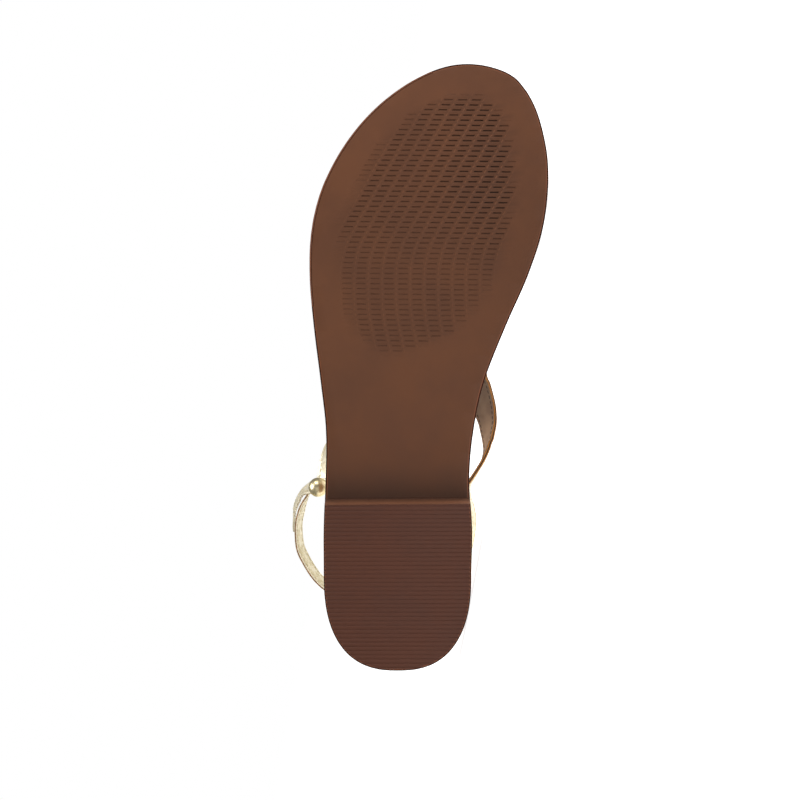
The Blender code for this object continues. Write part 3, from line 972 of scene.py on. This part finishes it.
#   side, inset from that edge, depth as a share of half the thickness, surface up to the next row
STRAP_SECTION: tuple[tuple[int, float, float, Ply], ...] = (
    (-1, 0.25, 0.98, Ply.OUTER),
    (-1, 1.0, 1.0, Ply.OUTER),
    (-1, 1.6, 0.82, Ply.OUTER),
    (-1, 2.2, 1.0, Ply.OUTER),
    (-1, MIDDLE, 1.08, Ply.OUTER),
    (1, 2.2, 1.0, Ply.OUTER),
    (1, 1.6, 0.82, Ply.OUTER),
    (1, 1.0, 1.0, Ply.OUTER),
    (1, 0.25, 0.98, Ply.EDGE),
    (1, 0.0, 0.7, Ply.EDGE),
    (1, 0.0, 0.36, Ply.GLUE),
    (1, 0.16, 0.0, Ply.GLUE),
    (1, 0.0, -0.36, Ply.EDGE),
    (1, 0.0, -0.7, Ply.EDGE),
    (1, 0.25, -0.98, Ply.LINING),
    (1, 1.0, -1.0, Ply.LINING),
    (1, 1.6, -0.84, Ply.LINING),
    (1, 2.2, -1.0, Ply.LINING),
    (-1, MIDDLE, -1.04, Ply.LINING),
    (-1, 2.2, -1.0, Ply.LINING),
    (-1, 1.6, -0.84, Ply.LINING),
    (-1, 1.0, -1.0, Ply.LINING),
    (-1, 0.25, -0.98, Ply.EDGE),
    (-1, 0.0, -0.7, Ply.EDGE),
    (-1, 0.0, -0.36, Ply.GLUE),
    (-1, 0.16, 0.0, Ply.GLUE),
    (-1, 0.0, 0.36, Ply.EDGE),
    (-1, 0.0, 0.7, Ply.EDGE),
)

STITCH = (1.7, 0.42, 0.36)  # length, width and height
THREAD_CREASE = 60.0  # degrees
STITCH_DEPTH = 0.92  # of its middle, as a share of half the strap's thickness
SEAM_SAMPLES = 400
SEAM_LOOK = 0.5  # how far on and back a seam's direction is read
UPWARD = Vector((-0.5, 0.0, 1.0))  # roughly up the foot, which tells a strap's upper edge


@dataclass
class Band:
    """A two-ply strap along a middle line.

    Its rows give forward, side, height, lean and width. Lean is how far its face tips out of
    upright, in degrees: below zero its upper edge tips in over the foot, above zero it flares out.
    The lining's shading is painted: its shade changes by the given share at the first row, and by the
    opposite of that at the last, with its ramp between them; below zero is painted shade. Step is how
    far on and back, in rows, the run is read.
    """

    rows: Sequence[Sequence[float]]
    outward: Callable[[Vector], Vector]
    thickness: float = 1.5
    steps: int = 160
    lining_shading: float = 0.0
    lining_shading_ramp: Ramp = Ramp(0.3, 0.35)
    step: float = 0.02

    def frame(self, along: float) -> tuple[Vector, Vector, Vector, Vector, float]:
        """Centre, run, face and across directions, and width at a share of the way along."""
        at = along * (len(self.rows) - 1)
        x, y, z, lean, width = through(self.rows, at)
        ahead = through(self.rows, at + self.step)[:3] - through(self.rows, at - self.step)[:3]
        run = Vector(ahead).normalized()
        out = self.outward(Vector((x, y, z)))
        out = (out - run * out.dot(run)).normalized()
        up = out.cross(run)
        if up.dot(UPWARD) < 0:
            up = -up
        tip = math.radians(lean)
        across = up * math.cos(tip) + out * math.sin(tip)
        looks = out * math.cos(tip) - up * math.sin(tip)
        return Vector((x, y, z)), run, looks, across, float(width)

    def point(self, side: float, inset: float, along: float, depth: float) -> Vector:
        """A point of the section.

        Args:
            side: -1 for the lower edge, 1 for the upper edge.
            inset: distance in from that edge.
            along: share of the way along.
            depth: share of half the thickness towards the outer face.

        Returns:
            The point.
        """
        centre, _, looks, across, width = self.frame(along)
        reach = side * max(0.0, width / 2 - inset)
        return centre + across * reach + looks * depth * self.thickness / 2

    def shell(self) -> bmesh.types.BMesh:
        """The strap's closed mesh."""
        bm = bmesh.new()
        count = len(STRAP_SECTION)
        bmesh.ops.create_grid(bm, x_segments=count, y_segments=self.steps, size=1.0)
        for pane in bm.faces:
            place = (pane.calc_center_median().x + 1) / 2
            pane.material_index = STRAP_SECTION[int(place * count)][3]
        # Painted shade at one end of the lining and painted light at the other, carried by a vertex
        # attribute.
        lining_shading = bm.verts.layers.float.new("painted_shading")
        for vert in bm.verts:
            row = round((vert.co.y + 1) / 2 * self.steps)
            side, inset, depth, _ = STRAP_SECTION[round((vert.co.x + 1) / 2 * count) % count]
            vert.co = self.point(side, inset, row / self.steps, depth)
            vert[lining_shading] = self.lining_shading * (1 - 2 * self.lining_shading_ramp.at(row / self.steps))
        bmesh.ops.remove_doubles(bm, verts=bm.verts, dist=1e-5)
        rim = [e for e in bm.edges if e.is_boundary]
        for pane in bmesh.ops.holes_fill(bm, edges=rim, sides=0)["faces"]:
            pane.material_index = Ply.EDGE
        # Where a strap is narrower than its section, two faces fall together and leave a loose fin.
        fins = [f for f in bm.faces if any(e.is_boundary for e in f.edges)]
        bmesh.ops.delete(bm, geom=fins, context="FACES")
        bmesh.ops.recalc_face_normals(bm, faces=bm.faces)
        # A short, strongly curved strap can come out of that with its faces inwards.
        if bm.calc_volume(signed=True) < 0:
            bmesh.ops.reverse_faces(bm, faces=bm.faces)
        return bm

    def stitch_line(
        self, inset: float, outer: bool, start: float = 0.0, end: float = 1.0, pitch: float = 2.2
    ) -> list[Matrix]:
        """Places of the stitches along both edges of a face.

        Args:
            inset: distance in from the edge.
            outer: the outer face, or the lining.
            start: share of the way along at the first stitch.
            end: share of the way along at the last stitch.
            pitch: from one stitch to the next.

        Returns:
            A matrix for each stitch, with X along the seam and Z out of the leather.
        """
        face = 1 if outer else -1
        shares = np.linspace(start, end, SEAM_SAMPLES)
        made = []
        for side in (-1, 1):
            line = np.array([self.point(side, inset, s, face * STITCH_DEPTH) for s in shares])
            run = lengths(line)
            for here in spaced(run[-1], pitch):
                ahead = Vector(point_at(line, run, here + SEAM_LOOK))
                back = Vector(point_at(line, run, here - SEAM_LOOK))
                _, _, looks, _, _ = self.frame(float(np.interp(here, run, shares)))
                x = (ahead - back).normalized()
                z = (looks - x * looks.dot(x)).normalized() * face
                turn = Matrix((x, z.cross(x), z)).transposed().to_4x4()
                made.append(Matrix.Translation(point_at(line, run, here)) @ turn)
        return made


def add_stitches(
    bm: bmesh.types.BMesh, places: Iterable[Matrix], slot: int, size: tuple[float, float, float]
) -> None:
    """Adds a rounded stitch at each place.

    Args:
        bm: the mesh to add to.
        places: where they go, with X along the seam and Z out of the surface.
        slot: material slot.
        size: length, width and height.
    """
    scale = Matrix.Diagonal((size[0] / 2, size[1] / 2, size[2] / 2, 1.0))
    along = Matrix.Rotation(math.radians(90), 4, "Y")
    for place in places:
        made = bmesh.ops.create_uvsphere(
            bm, u_segments=6, v_segments=4, radius=1.0, matrix=place @ scale @ along
        )
        for pane in {f for v in made["verts"] for f in v.link_faces}:
            pane.material_index = slot


def stitching(
    name: str,
    outer: Iterable[Matrix],
    lining: Iterable[Matrix],
    threads: tuple[bpy.types.Material, bpy.types.Material],
    node: str,
) -> bpy.types.Object:
    """A piece that holds all stitches of a strap.

    Args:
        name: the piece's name.
        outer: stitches on the outer face.
        lining: stitches on the lining.
        threads: materials of the outer and inner thread.
        node: the CAD node that it replaces.

    Returns:
        The object.
    """
    bm = bmesh.new()
    add_stitches(bm, outer, 0, STITCH)
    add_stitches(bm, lining, 1, STITCH)
    return finish_piece(name, bm, threads, (node,), THREAD_CREASE)


def medial(_: Vector) -> Vector:
    """Outward direction on the inner side of the foot."""
    return Vector((0, 1, 0))


def lateral(_: Vector) -> Vector:
    """Outward direction on the outer side of the foot."""
    return Vector((0, -1, 0))


@dataclass
class ThongUpper:
    """Two lined legs that meet over the toe post, and the tab that carries the stud."""

    form: SoleForm
    post_at: tuple[float, float] = (198.5, 25.0)
    post_radius: float = 2.2
    #   heights of the collar's foot and top above the sole
    collar: tuple[float, float] = (4.2, 5.3)
    seam: float = 1.6
    #   forward, side, height, lean, width
    medial_rows: tuple[tuple[float, ...], ...] = (
        (197.0, 27.6, 25.4, -90, 5.5),
        (192.0, 28.5, 26.0, -90, 7.0),
        (178.0, 29.6, 30.6, -78, 10.0),
        (160.0, 29.3, 37.0, -66, 12.0),
        (140.0, 29.6, 42.3, -56, 12.0),
        (121.0, 32.6, 44.8, -48, 12.0),
        (114.0, 34.75, 44.6, -48, 12.0),
        (107.0, 36.5, 43.9, -46, 12.0),
        (102.0, 37.65, 43.1, -35, 12.0),
        (98.4, 38.0, 42.1, -28, 12.0),
        (95.0, 38.1, 40.9, -20, 12.0),
        (92.0, 38.0, 39.4, -15, 12.0),
        (89.6, 37.3, 38.0, -12, 12.0),
        (87.2, 36.7, 36.5, -11, 12.0),
        (82.0, 33.6, 32.9, -17, 12.0),
        (75.0, 28.7, 27.4, -20, 12.0),
        (70.0, 24.6, 23.0, -24, 12.0),
        (67.2, 22.6, 19.5, -31, 12.0),
        (66.6, 22.2, 17.0, -36, 12.0),
        (66.6, 22.2, 14.6, -36, 12.0),
    )
    lateral_rows: tuple[tuple[float, ...], ...] = (
        (197.0, 22.4, 25.4, -90, 5.5),
        (192.0, 21.5, 26.0, -90, 7.0),
        (177.0, 16.0, 32.0, -78, 10.0),
        (158.0, 6.5, 40.0, -66, 12.0),
        (136.0, -6.0, 46.5, -54, 12.0),
        (116.0, -17.0, 47.0, -38, 12.0),
        (102.0, -23.5, 41.0, -18, 12.0),
        (93.0, -26.3, 31.5, -4, 12.0),
        (88.8, -26.0, 22.5, 0, 12.0),
        (88.0, -25.4, 17.0, 0, 12.0),
        (88.0, -25.4, 13.6, 0, 12.0),
    )
    tab_rows: tuple[tuple[float, ...], ...] = (
        (118.0, -15.4, 49.6, -38, 5.0),
        (113.0, -17.9, 49.7, -36, 10.0),
        (106.0, -20.2, 49.4, -27, 11.0),
        (99.0, -24.0, 48.7, -8, 11.0),
        (92.0, -27.8, 48.2, 17, 11.0),
        (84.5, -29.1, 48.6, 37, 11.0),
        (78.8, -29.1, 49.3, 52, 11.0),
        (74.1, -29.6, 49.9, 62, 10.0),
        (70.6, -30.2, 50.2, 63, 5.5),
    )
    throat_rows: tuple[tuple[float, ...], ...] = (
        (187.0, 25.0, 28.6, -90, 8.0),
        (189.5, 25.0, 27.9, -90, 13.0),
        (193.5, 25.0, 27.0, -90, 14.6),
        (198.0, 25.0, 26.4, -90, 13.0),
        (202.0, 25.0, 25.0, -90, 9.6),
        (204.6, 25.0, 22.6, -90, 6.0),
        (205.3, 25.0, 20.6, -90, 3.6),
    )
    medial_leg: Band = field(init=False)
    lateral_leg: Band = field(init=False)
    tab: Band = field(init=False)

    def __post_init__(self) -> None:
        """Lays out the bands."""
        # The legs' lining gets painted shade towards the toe post and painted light towards its back
        # end.
        self.medial_leg = Band(self.medial_rows, medial, lining_shading=-0.6)
        self.lateral_leg = Band(self.lateral_rows, lateral, lining_shading=-0.6)
        self.tab = Band(self.tab_rows, lateral, steps=80)

    def toe_post(self, finish: bpy.types.Material, edge: bpy.types.Material) -> bpy.types.Object:
        """The leather-wrapped post, with a collar where it enters the footbed.

        Args:
            finish: its leather.
            edge: finish of the collar.

        Returns:
            The object.
        """
        x, y = self.post_at
        base = self.form.bottom(x) + self.form.sole + self.form.gap
        foot, top = (base + height for height in self.collar)
        #   height, radius
        profile = (
            (base, self.post_radius),
            (foot, self.post_radius),
            (foot, self.post_radius + 1.3),
            (base + 4.6, self.post_radius + 1.4),
            (base + 5.0, self.post_radius + 1.0),
            (top, self.post_radius),
            (base + 12.0, self.post_radius * 0.94),
            (24.0, self.post_radius * 1.15),
            (25.6, self.post_radius * 1.7),
        )
        bm = bmesh.new()
        start, radius = profile[0]
        bmesh.ops.create_circle(bm, cap_ends=True, segments=32, radius=radius)
        bmesh.ops.translate(bm, verts=bm.verts, vec=(x, y, start))
        bm.faces.ensure_lookup_table()
        cap = bm.faces[0]
        for height, wide in profile[1:]:
            cap = lengthen(bm, cap)
            grow = wide / radius
            for vert in cap.verts:
                vert.co = (x + (vert.co.x - x) * grow, y + (vert.co.y - y) * grow, height)
            radius = wide
        for pane in bm.faces:
            pane.material_index = int(foot - 0.1 < pane.calc_center_median().z < top)
        bmesh.ops.recalc_face_normals(bm, faces=bm.faces)
        return finish_piece("toe_post", bm, (finish, edge), ("thong_upper",))

    def build(self, finishes: Finishes) -> list[bpy.types.Object]:
        """Builds the legs, throat, post, tab and stitching.

        Args:
            finishes: the materials.

        Returns:
            The objects.
        """
        throat = Band(self.throat_rows, medial, steps=40)
        made = [self.toe_post(finishes.gold, finishes.edge_gold)]
        outer: list[Matrix] = []
        lining: list[Matrix] = []
        for name, band, start, end in (
            ("medial_leg", self.medial_leg, 0.04, 0.9),
            ("lateral_leg", self.lateral_leg, 0.05, 0.86),
            ("stud_tab", self.tab, 0.1, 0.93),
            ("throat", throat, 0.14, 0.8),
        ):
            shell = band.shell()
            made.append(finish_piece(name, shell, finishes.strap, ("thong_upper",)))
            outer += band.stitch_line(self.seam, True, start, end)
            lining += band.stitch_line(self.seam, False, start, end)
        threads = (finishes.thread_gold, finishes.thread_brown)
        made.append(stitching("upper_stitching", outer, lining, threads, "thong_upper"))
        return made


@dataclass
class SlingStrap:
    """Strap round the ankle: a slack ring, then a straight run sewn onto the medial leg."""

    ring_forward: float = 55.5
    ring_side: float = -5.05
    ring_half_length: float = 32.0
    ring_half_width: float = 36.75
    thickness: float = 1.0
    seam: float = 1.6
    #   turn round the ring from straight lateral, height, lean, width
    ring_rows: tuple[tuple[float, ...], ...] = (
        (-27.8, 52.8, 0, 3.4),
        (-24.8, 52.1, -5, 6.6),
        (-15.0, 51.6, -12, 10.0),
        (0.0, 53.0, -14, 10.0),
        (20.0, 55.0, -17, 10.0),
        (50.0, 56.8, -18, 10.0),
        (90.0, 58.5, -14, 10.0),
        (125.0, 57.8, -6, 10.0),
        (155.0, 55.5, 6, 10.0),
        (180.0, 52.5, 12, 10.0),
    )
    #   forward, side, height, lean, width
    end_rows: tuple[tuple[float, ...], ...] = (
        (64.0, 31.4, 50.6, 10, 10.0),
        (69.5, 30.0, 50.2, 8, 10.0),
        (74.3, 30.2, 50.0, 5, 10.0),
        (78.2, 32.4, 49.9, 3, 9.8),
        (82.5, 34.8, 49.9, 1, 9.6),
        (86.0, 36.2, 49.8, -2, 9.4),
        (89.0, 37.1, 49.7, -5, 9.0),
        (92.0, 37.7, 49.2, -12, 8.8),
        (95.0, 37.7, 48.4, -17, 8.6),
        (98.4, 37.45, 47.4, -26, 8.4),
        (102.0, 37.0, 47.1, -34, 8.0),
        (105.0, 36.0, 47.3, -41, 6.5),
        (107.5, 35.2, 47.5, -46, 4.5),
    )
    #   forward, side, height, lean, width
    tab_rows: tuple[tuple[float, ...], ...] = (
        (74.8, -27.35, 45.3, 56, 4.0),
        (74.8, -30.75, 47.3, 54, 5.5),
        (74.0, -35.1, 49.9, 38, 6.4),
        (71.8, -39.7, 51.4, 13, 6.8),
        (68.1, -42.0, 52.0, 10, 8.6),
        (64.0, -43.45, 52.6, 5, 9.5),
        (60.3, -43.5, 53.2, 0, 8.5),
        (57.4, -43.5, 53.4, -5, 6.5),
        (55.0, -43.25, 53.6, -9, 4.0),
    )

    def outward(self, point: Vector) -> Vector:
        """Away from the ankle, and straight out along the inner side where it meets the leg."""
        if point.x > self.ring_forward and point.y > 0:
            return medial(point)
        return Vector((point.x - self.ring_forward, point.y - self.ring_side, 0)).normalized()

    def build(self, finishes: Finishes) -> list[bpy.types.Object]:
        """Builds the sling strap, its button tab and their stitching.

        Args:
            finishes: the materials.

        Returns:
            The objects.
        """
        rows = []
        for turn, height, lean, width in self.ring_rows:
            angle = math.radians(turn)
            x = self.ring_forward - self.ring_half_length * math.sin(angle)
            y = self.ring_side - self.ring_half_width * math.cos(angle)
            rows.append((x, y, height, lean, width))
        made = []
        ring = Band([*rows, *self.end_rows], self.outward, self.thickness, steps=240)
        button = Band(self.tab_rows, self.outward, self.thickness, steps=80)
        for name, node, band, leather, start, end in (
            ("ankle_sling", "sling_strap", ring, finishes.sling, 0.03, 0.96),
            ("button_strap", "button_tab", button, finishes.button, 0.12, 0.9),
        ):
            made.append(finish_piece(name, band.shell(), leather, (node,)))
            lines = [band.stitch_line(self.seam, outer, start, end) for outer in (True, False)]
            threads = (finishes.thread_gold, finishes.thread_tan)
            made.append(stitching(name + "_stitching", *lines, threads, node))
        return made


@dataclass
class BallStud:
    """Turned brass stud: a ball on a neck, with a rivet head inside the tab."""

    tab: Band
    row: float = 7.0
    #   radii of the ball and the neck, and distances from the tab's middle to the ball's and to the
    #   rivet head's seat
    ball: float = 4.1
    neck: float = 1.1
    offset: float = 7.8
    seat: float = 0.85
    #   facets of the ball from pole to pole, and of the whole stud all round
    rings: int = 20
    around: int = 48

    def build(self, finish: bpy.types.Material) -> bpy.types.Object:
        """Builds the piece.

        Args:
            finish: its metal.

        Returns:
            The object.
        """
        spot, _, looks, _, _ = self.tab.frame(self.row / (len(self.tab.rows) - 1))
        #   radius, distance from the tab's middle
        profile = [
            (0.0, -self.seat - 1.1),
            (1.2, -self.seat - 1.05),
            (2.1, -self.seat - 0.75),
            (2.6, -self.seat - 0.2),
            (2.6, -self.seat),
            (self.neck, -self.seat),
            (self.neck, self.seat + 1.5),
            (self.neck + 0.5, self.seat + 1.8),
            (self.neck + 0.5, self.seat + 2.3),
            (self.neck, self.seat + 2.6),
        ]
        start = math.asin(self.neck / self.ball)
        for i in range(self.rings + 1):
            turn = start + (math.pi - start) * i / self.rings
            profile.append((self.ball * math.sin(turn), self.offset - self.ball * math.cos(turn)))
        profile[-1] = (0.0, self.offset + self.ball)
        bm = bmesh.new()
        verts = [bm.verts.new((r, 0, h)) for r, h in profile]
        edges = [bm.edges.new(pair) for pair in zip(verts, verts[1:])]
        bmesh.ops.spin(
            bm,
            geom=verts + edges,
            axis=(0, 0, 1),
            cent=(0, 0, 0),
            angle=math.tau,
            steps=self.around,
            use_merge=True,
        )
        bmesh.ops.remove_doubles(bm, verts=bm.verts, dist=0.001)
        bmesh.ops.recalc_face_normals(bm, faces=bm.faces)
        bm.transform(Matrix.Translation(spot) @ looks.to_track_quat("Z", "Y").to_matrix().to_4x4())
        return finish_piece("brass_stud", bm, (finish,), ("ball_stud",))


@dataclass(frozen=True)
class Dip:
    """A soft hollow pressed by the foot: where, how long and wide, and how deep."""

    forward: float
    side: float
    length: float
    width: float
    depth: float

    def at(self, x: float, y: float) -> float:
        """Its depth at a point."""
        far = ((x - self.forward) / self.length) ** 2 + ((y - self.side) / self.width) ** 2
        return self.depth * math.exp(-far)


@dataclass
class Footbed:
    """Padded footbed: a leather cover over foam on a board, stitched round its edge."""

    maker: SoleMaker
    thickness: float = 4.0
    inset: float = 1.6
    dips: tuple[Dip, ...] = (Dip(36.0, 0.0, 24.0, 17.0, 0.7), Dip(178.0, 12.0, 24.0, 26.0, 0.45))
    #   the stitching: in from the edge, from one to the next, height of its middle, and its size
    seam: float = 4.8
    pitch: float = 3.2
    rise: float = 0.03
    stitch: tuple[float, float, float] = (2.4, 0.5, 0.4)
    #   the plate that it is cut from: size of a cell along the shoe, cells across, room beyond the
    #   heel, and where it begins and how wide it is
    cell: float = 4.0
    rows: int = 30
    margin: float = 4.0
    side: float = -45.0
    width: float = 115.0
    #   the slots for the legs: room on all sides, share of the leg where they begin, and extra depth
    slot_room: float = 0.5
    slot_start: float = 0.66
    slot_depth: float = 3.0
    #   inset beyond the footbed's own, height, and material: 0 for the leather or 1 for the board
    rim: tuple[tuple[float, float, int], ...] = (
        (1.0, -0.6, 1),
        (0.0, 0.4, 1),
        (0.0, 1.2, 1),
        (0.15, 1.35, 1),
        (0.0, 1.5, 0),
        (0.0, 2.7, 0),
        (0.35, 3.4, 0),
        (1.1, 3.85, 0),
        (2.6, 4.15, 0),
        (3.4, 5.0, 0),
    )

    def slot_tool(self, leg: Band) -> bmesh.types.BMesh:
        """A solid round the lower end of a leg, larger than the leg all round."""
        bm = bmesh.new()
        bmesh.ops.create_grid(bm, x_segments=1, y_segments=12, size=1.0)
        half = leg.thickness / 2 + self.slot_room
        sheet = list(bm.faces)
        made = bmesh.ops.extrude_face_region(bm, geom=sheet, use_keep_orig=True)["geom"]
        far = {v for v in made if isinstance(v, bmesh.types.BMVert)}
        for vert in bm.verts:
            along = (vert.co.y + 1) / 2
            share = self.slot_start + (1 - self.slot_start) * along
            spot, _, looks, across, width = leg.frame(share)
            reach = vert.co.x * (width / 2 + self.slot_room)
            vert.co = spot + across * reach + looks * (half if vert in far else -half)
            vert.co.z -= self.slot_depth * along**4
        bmesh.ops.recalc_face_normals(bm, faces=bm.faces)
        return bm

    def build(self, legs: Sequence[Band], finishes: Finishes) -> list[bpy.types.Object]:
        """Builds the footbed and its stitching.

        Args:
            legs: the straps that enter it.
            finishes: the materials.

        Returns:
            The objects.
        """
        form = self.maker.form
        columns = math.ceil(form.length / self.cell) + 2
        floor = form.sole + form.gap / 2

        def place(u: float, v: float) -> Vector:
            x = -self.margin + u * columns * self.cell
            return Vector((x, self.side + v * self.width, form.bottom(x) + floor))

        def cover(x: float, y: float) -> float:
            high = form.bottom(x) + floor + self.thickness
            return high - sum(dip.at(x, y) for dip in self.dips)

        bm, _ = self.maker.plate(columns, self.rows, place, cover)
        rim = [(self.inset + by, height, slot) for by, height, slot in self.rim]
        bm = cut(bm, self.maker.prism(rim, lambda x: form.bottom(x) + floor), Cut.KEEP_INSIDE, 2)
        for leg in legs:
            bm = cut(bm, self.slot_tool(leg), Cut.TAKE_AWAY, 2)
        leathers = (finishes.footbed, finishes.board)
        bed = finish_piece("padded_footbed", bm, leathers, ("footbed",))
        # One row of stitches inside the rim.
        line = self.maker.inset(self.inset + self.seam)
        closed = np.vstack([line, line[:1]])
        run = lengths(closed)
        places = []
        for here in spaced(run[-1], self.pitch):
            x, y = point_at(closed, run, here)
            fore, side = point_at(closed, run, here + SEAM_LOOK)
            high = cover(x, y) + self.rise
            ahead = Vector((fore - x, side - y, cover(fore, side) - cover(x, y))).normalized()
            across = Vector((0, 0, 1)).cross(ahead).normalized()
            turn = Matrix((ahead, across, ahead.cross(across))).transposed().to_4x4()
            places.append(Matrix.Translation((x, y, high)) @ turn)
        seams = bmesh.new()
        add_stitches(seams, places, 0, self.stitch)
        thread = (finishes.thread_gold,)
        stitches = finish_piece(
            "footbed_stitching", seams, thread, ("footbed",), THREAD_CREASE
        )
        return [bed, stitches]


@dataclass
class Studio:
    """Pale floor, soft light and the camera."""

    eye: tuple[float, float, float] = (110.4, 1.0, -1500.0)
    lens: float = 165.73
    sensor: float = 36.0
    aim: tuple[float, float, float] = (0.0, 0.0, 0.04)
    floor_size: float = 3.0
    floor_glow: float = 0.86
    surround: float = 0.27
    #   name, place in the frame in metres, side of the square in metres, power in watts
    lamps: tuple[tuple[str, tuple[float, float, float], float, float], ...] = (
        ("key_softbox", (0.95, -0.6, 0.75), 0.5, 7.4),
        ("fill_softbox", (-0.5, -1.1, 0.25), 0.8, 1.0),
        ("top_softbox", (-0.1, -0.1, 1.1), 0.7, 8.5),
    )

    def floor(self) -> None:
        """A plain white floor under the shoe."""
        bm = bmesh.new()
        bmesh.ops.create_grid(bm, x_segments=8, y_segments=8, size=self.floor_size)
        mesh = bpy.data.meshes.new("floor")
        bm.to_mesh(mesh)
        bm.free()
        paint = bpy.data.materials.new("white_studio_paint")
        paint.use_nodes = True
        shader = paint.node_tree.nodes["Principled BSDF"]
        shader.inputs["Base Color"].default_value = linear("F4F4F4")
        shader.inputs["Roughness"].default_value = 0.9
        shader.inputs["Emission Color"].default_value = linear("FFFFFF")
        shader.inputs["Emission Strength"].default_value = self.floor_glow
        mesh.materials.append(paint)
        made = bpy.data.objects.new("floor", mesh)
        bpy.context.scene.collection.objects.link(made)

    def light(self, name: str, at: tuple[float, float, float], size: float, power: float) -> None:
        """A square softbox aimed at the shoe.

        Args:
            name: its name.
            at: place in the frame, in metres.
            size: side of the square, in metres.
            power: in watts.
        """
        lamp = bpy.data.lights.new(name, "AREA")
        lamp.size, lamp.energy = size, power
        made = bpy.data.objects.new(name, lamp)
        made.location = at
        made.rotation_euler = (Vector(self.aim) - Vector(at)).to_track_quat("-Z", "Y").to_euler()
        made.visible_camera = False
        bpy.context.scene.collection.objects.link(made)

    def world(self) -> None:
        """An even white surround, brighter to the eye than to the shoe."""
        world = bpy.data.worlds.new("surround")
        bpy.context.scene.world = world
        world.use_nodes = True
        tree = world.node_tree
        back = tree.nodes["Background"]
        back.inputs["Color"].default_value = (1.0, 1.0, 1.0, 1.0)
        path = add_node(tree, "ShaderNodeLightPath")
        level = add_node(
            tree,
            "ShaderNodeMapRange",
            inputs={"Value": path.outputs["Is Camera Ray"], "To Min": self.surround, "To Max": 1.0},
        )
        tree.links.new(level.outputs[0], back.inputs["Strength"])

    def camera(self) -> None:
        """Looks square at the sole, with the toe up."""
        lens = bpy.data.cameras.new("camera")
        lens.lens, lens.sensor_width = self.lens, self.sensor
        made = bpy.data.objects.new("camera", lens)
        turn = LAY.to_3x3().normalized()
        forward, side, up = (turn.col[i] for i in range(3))
        made.matrix_world = Matrix.Translation(LAY @ Vector(self.eye)) @ Matrix(
            (side, forward, -up)
        ).transposed().to_4x4()
        bpy.context.scene.collection.objects.link(made)
        bpy.context.scene.camera = made

    def build(self) -> None:
        """Sets the stage."""
        bpy.context.scene.view_settings.view_transform = "Standard"
        self.floor()
        self.world()
        for lamp in self.lamps:
            self.light(*lamp)
        self.camera()


def main() -> None:
    """Builds the sandal and its stage."""
    logging.basicConfig(level=logging.INFO, format="%(message)s")
    finishes = Finishes(
        SOLE_RUBBER.make(),
        HEEL_RUBBER.make(),
        FRONT_RUBBER.make(),
        BEVEL_RUBBER.make(),
        EDGE_WAX.make(),
        GOLD_LEATHER.make(),
        GOLD_INSIDE.make(),
        LINING.make(),
        EDGE_GOLD.make(),
        EDGE_PALE.make(),
        GLUE_LINE.make(),
        THREAD_GOLD.make(),
        THREAD_BROWN.make(),
        THREAD_TAN.make(),
        FOOTBED_LEATHER.make(),
        BOARD.make(),
        BRASS.make(),
    )
    maker = SoleMaker(SoleForm())
    Outsole(maker).build(finishes)
    HeelBlock(maker).build(finishes)
    upper = ThongUpper(maker.form)
    upper.build(finishes)
    Footbed(maker).build((upper.medial_leg, upper.lateral_leg), finishes)
    SlingStrap().build(finishes)
    BallStud(upper.tab).build(finishes.brass)
    Studio().build()


if __name__ == "__main__":
    main()
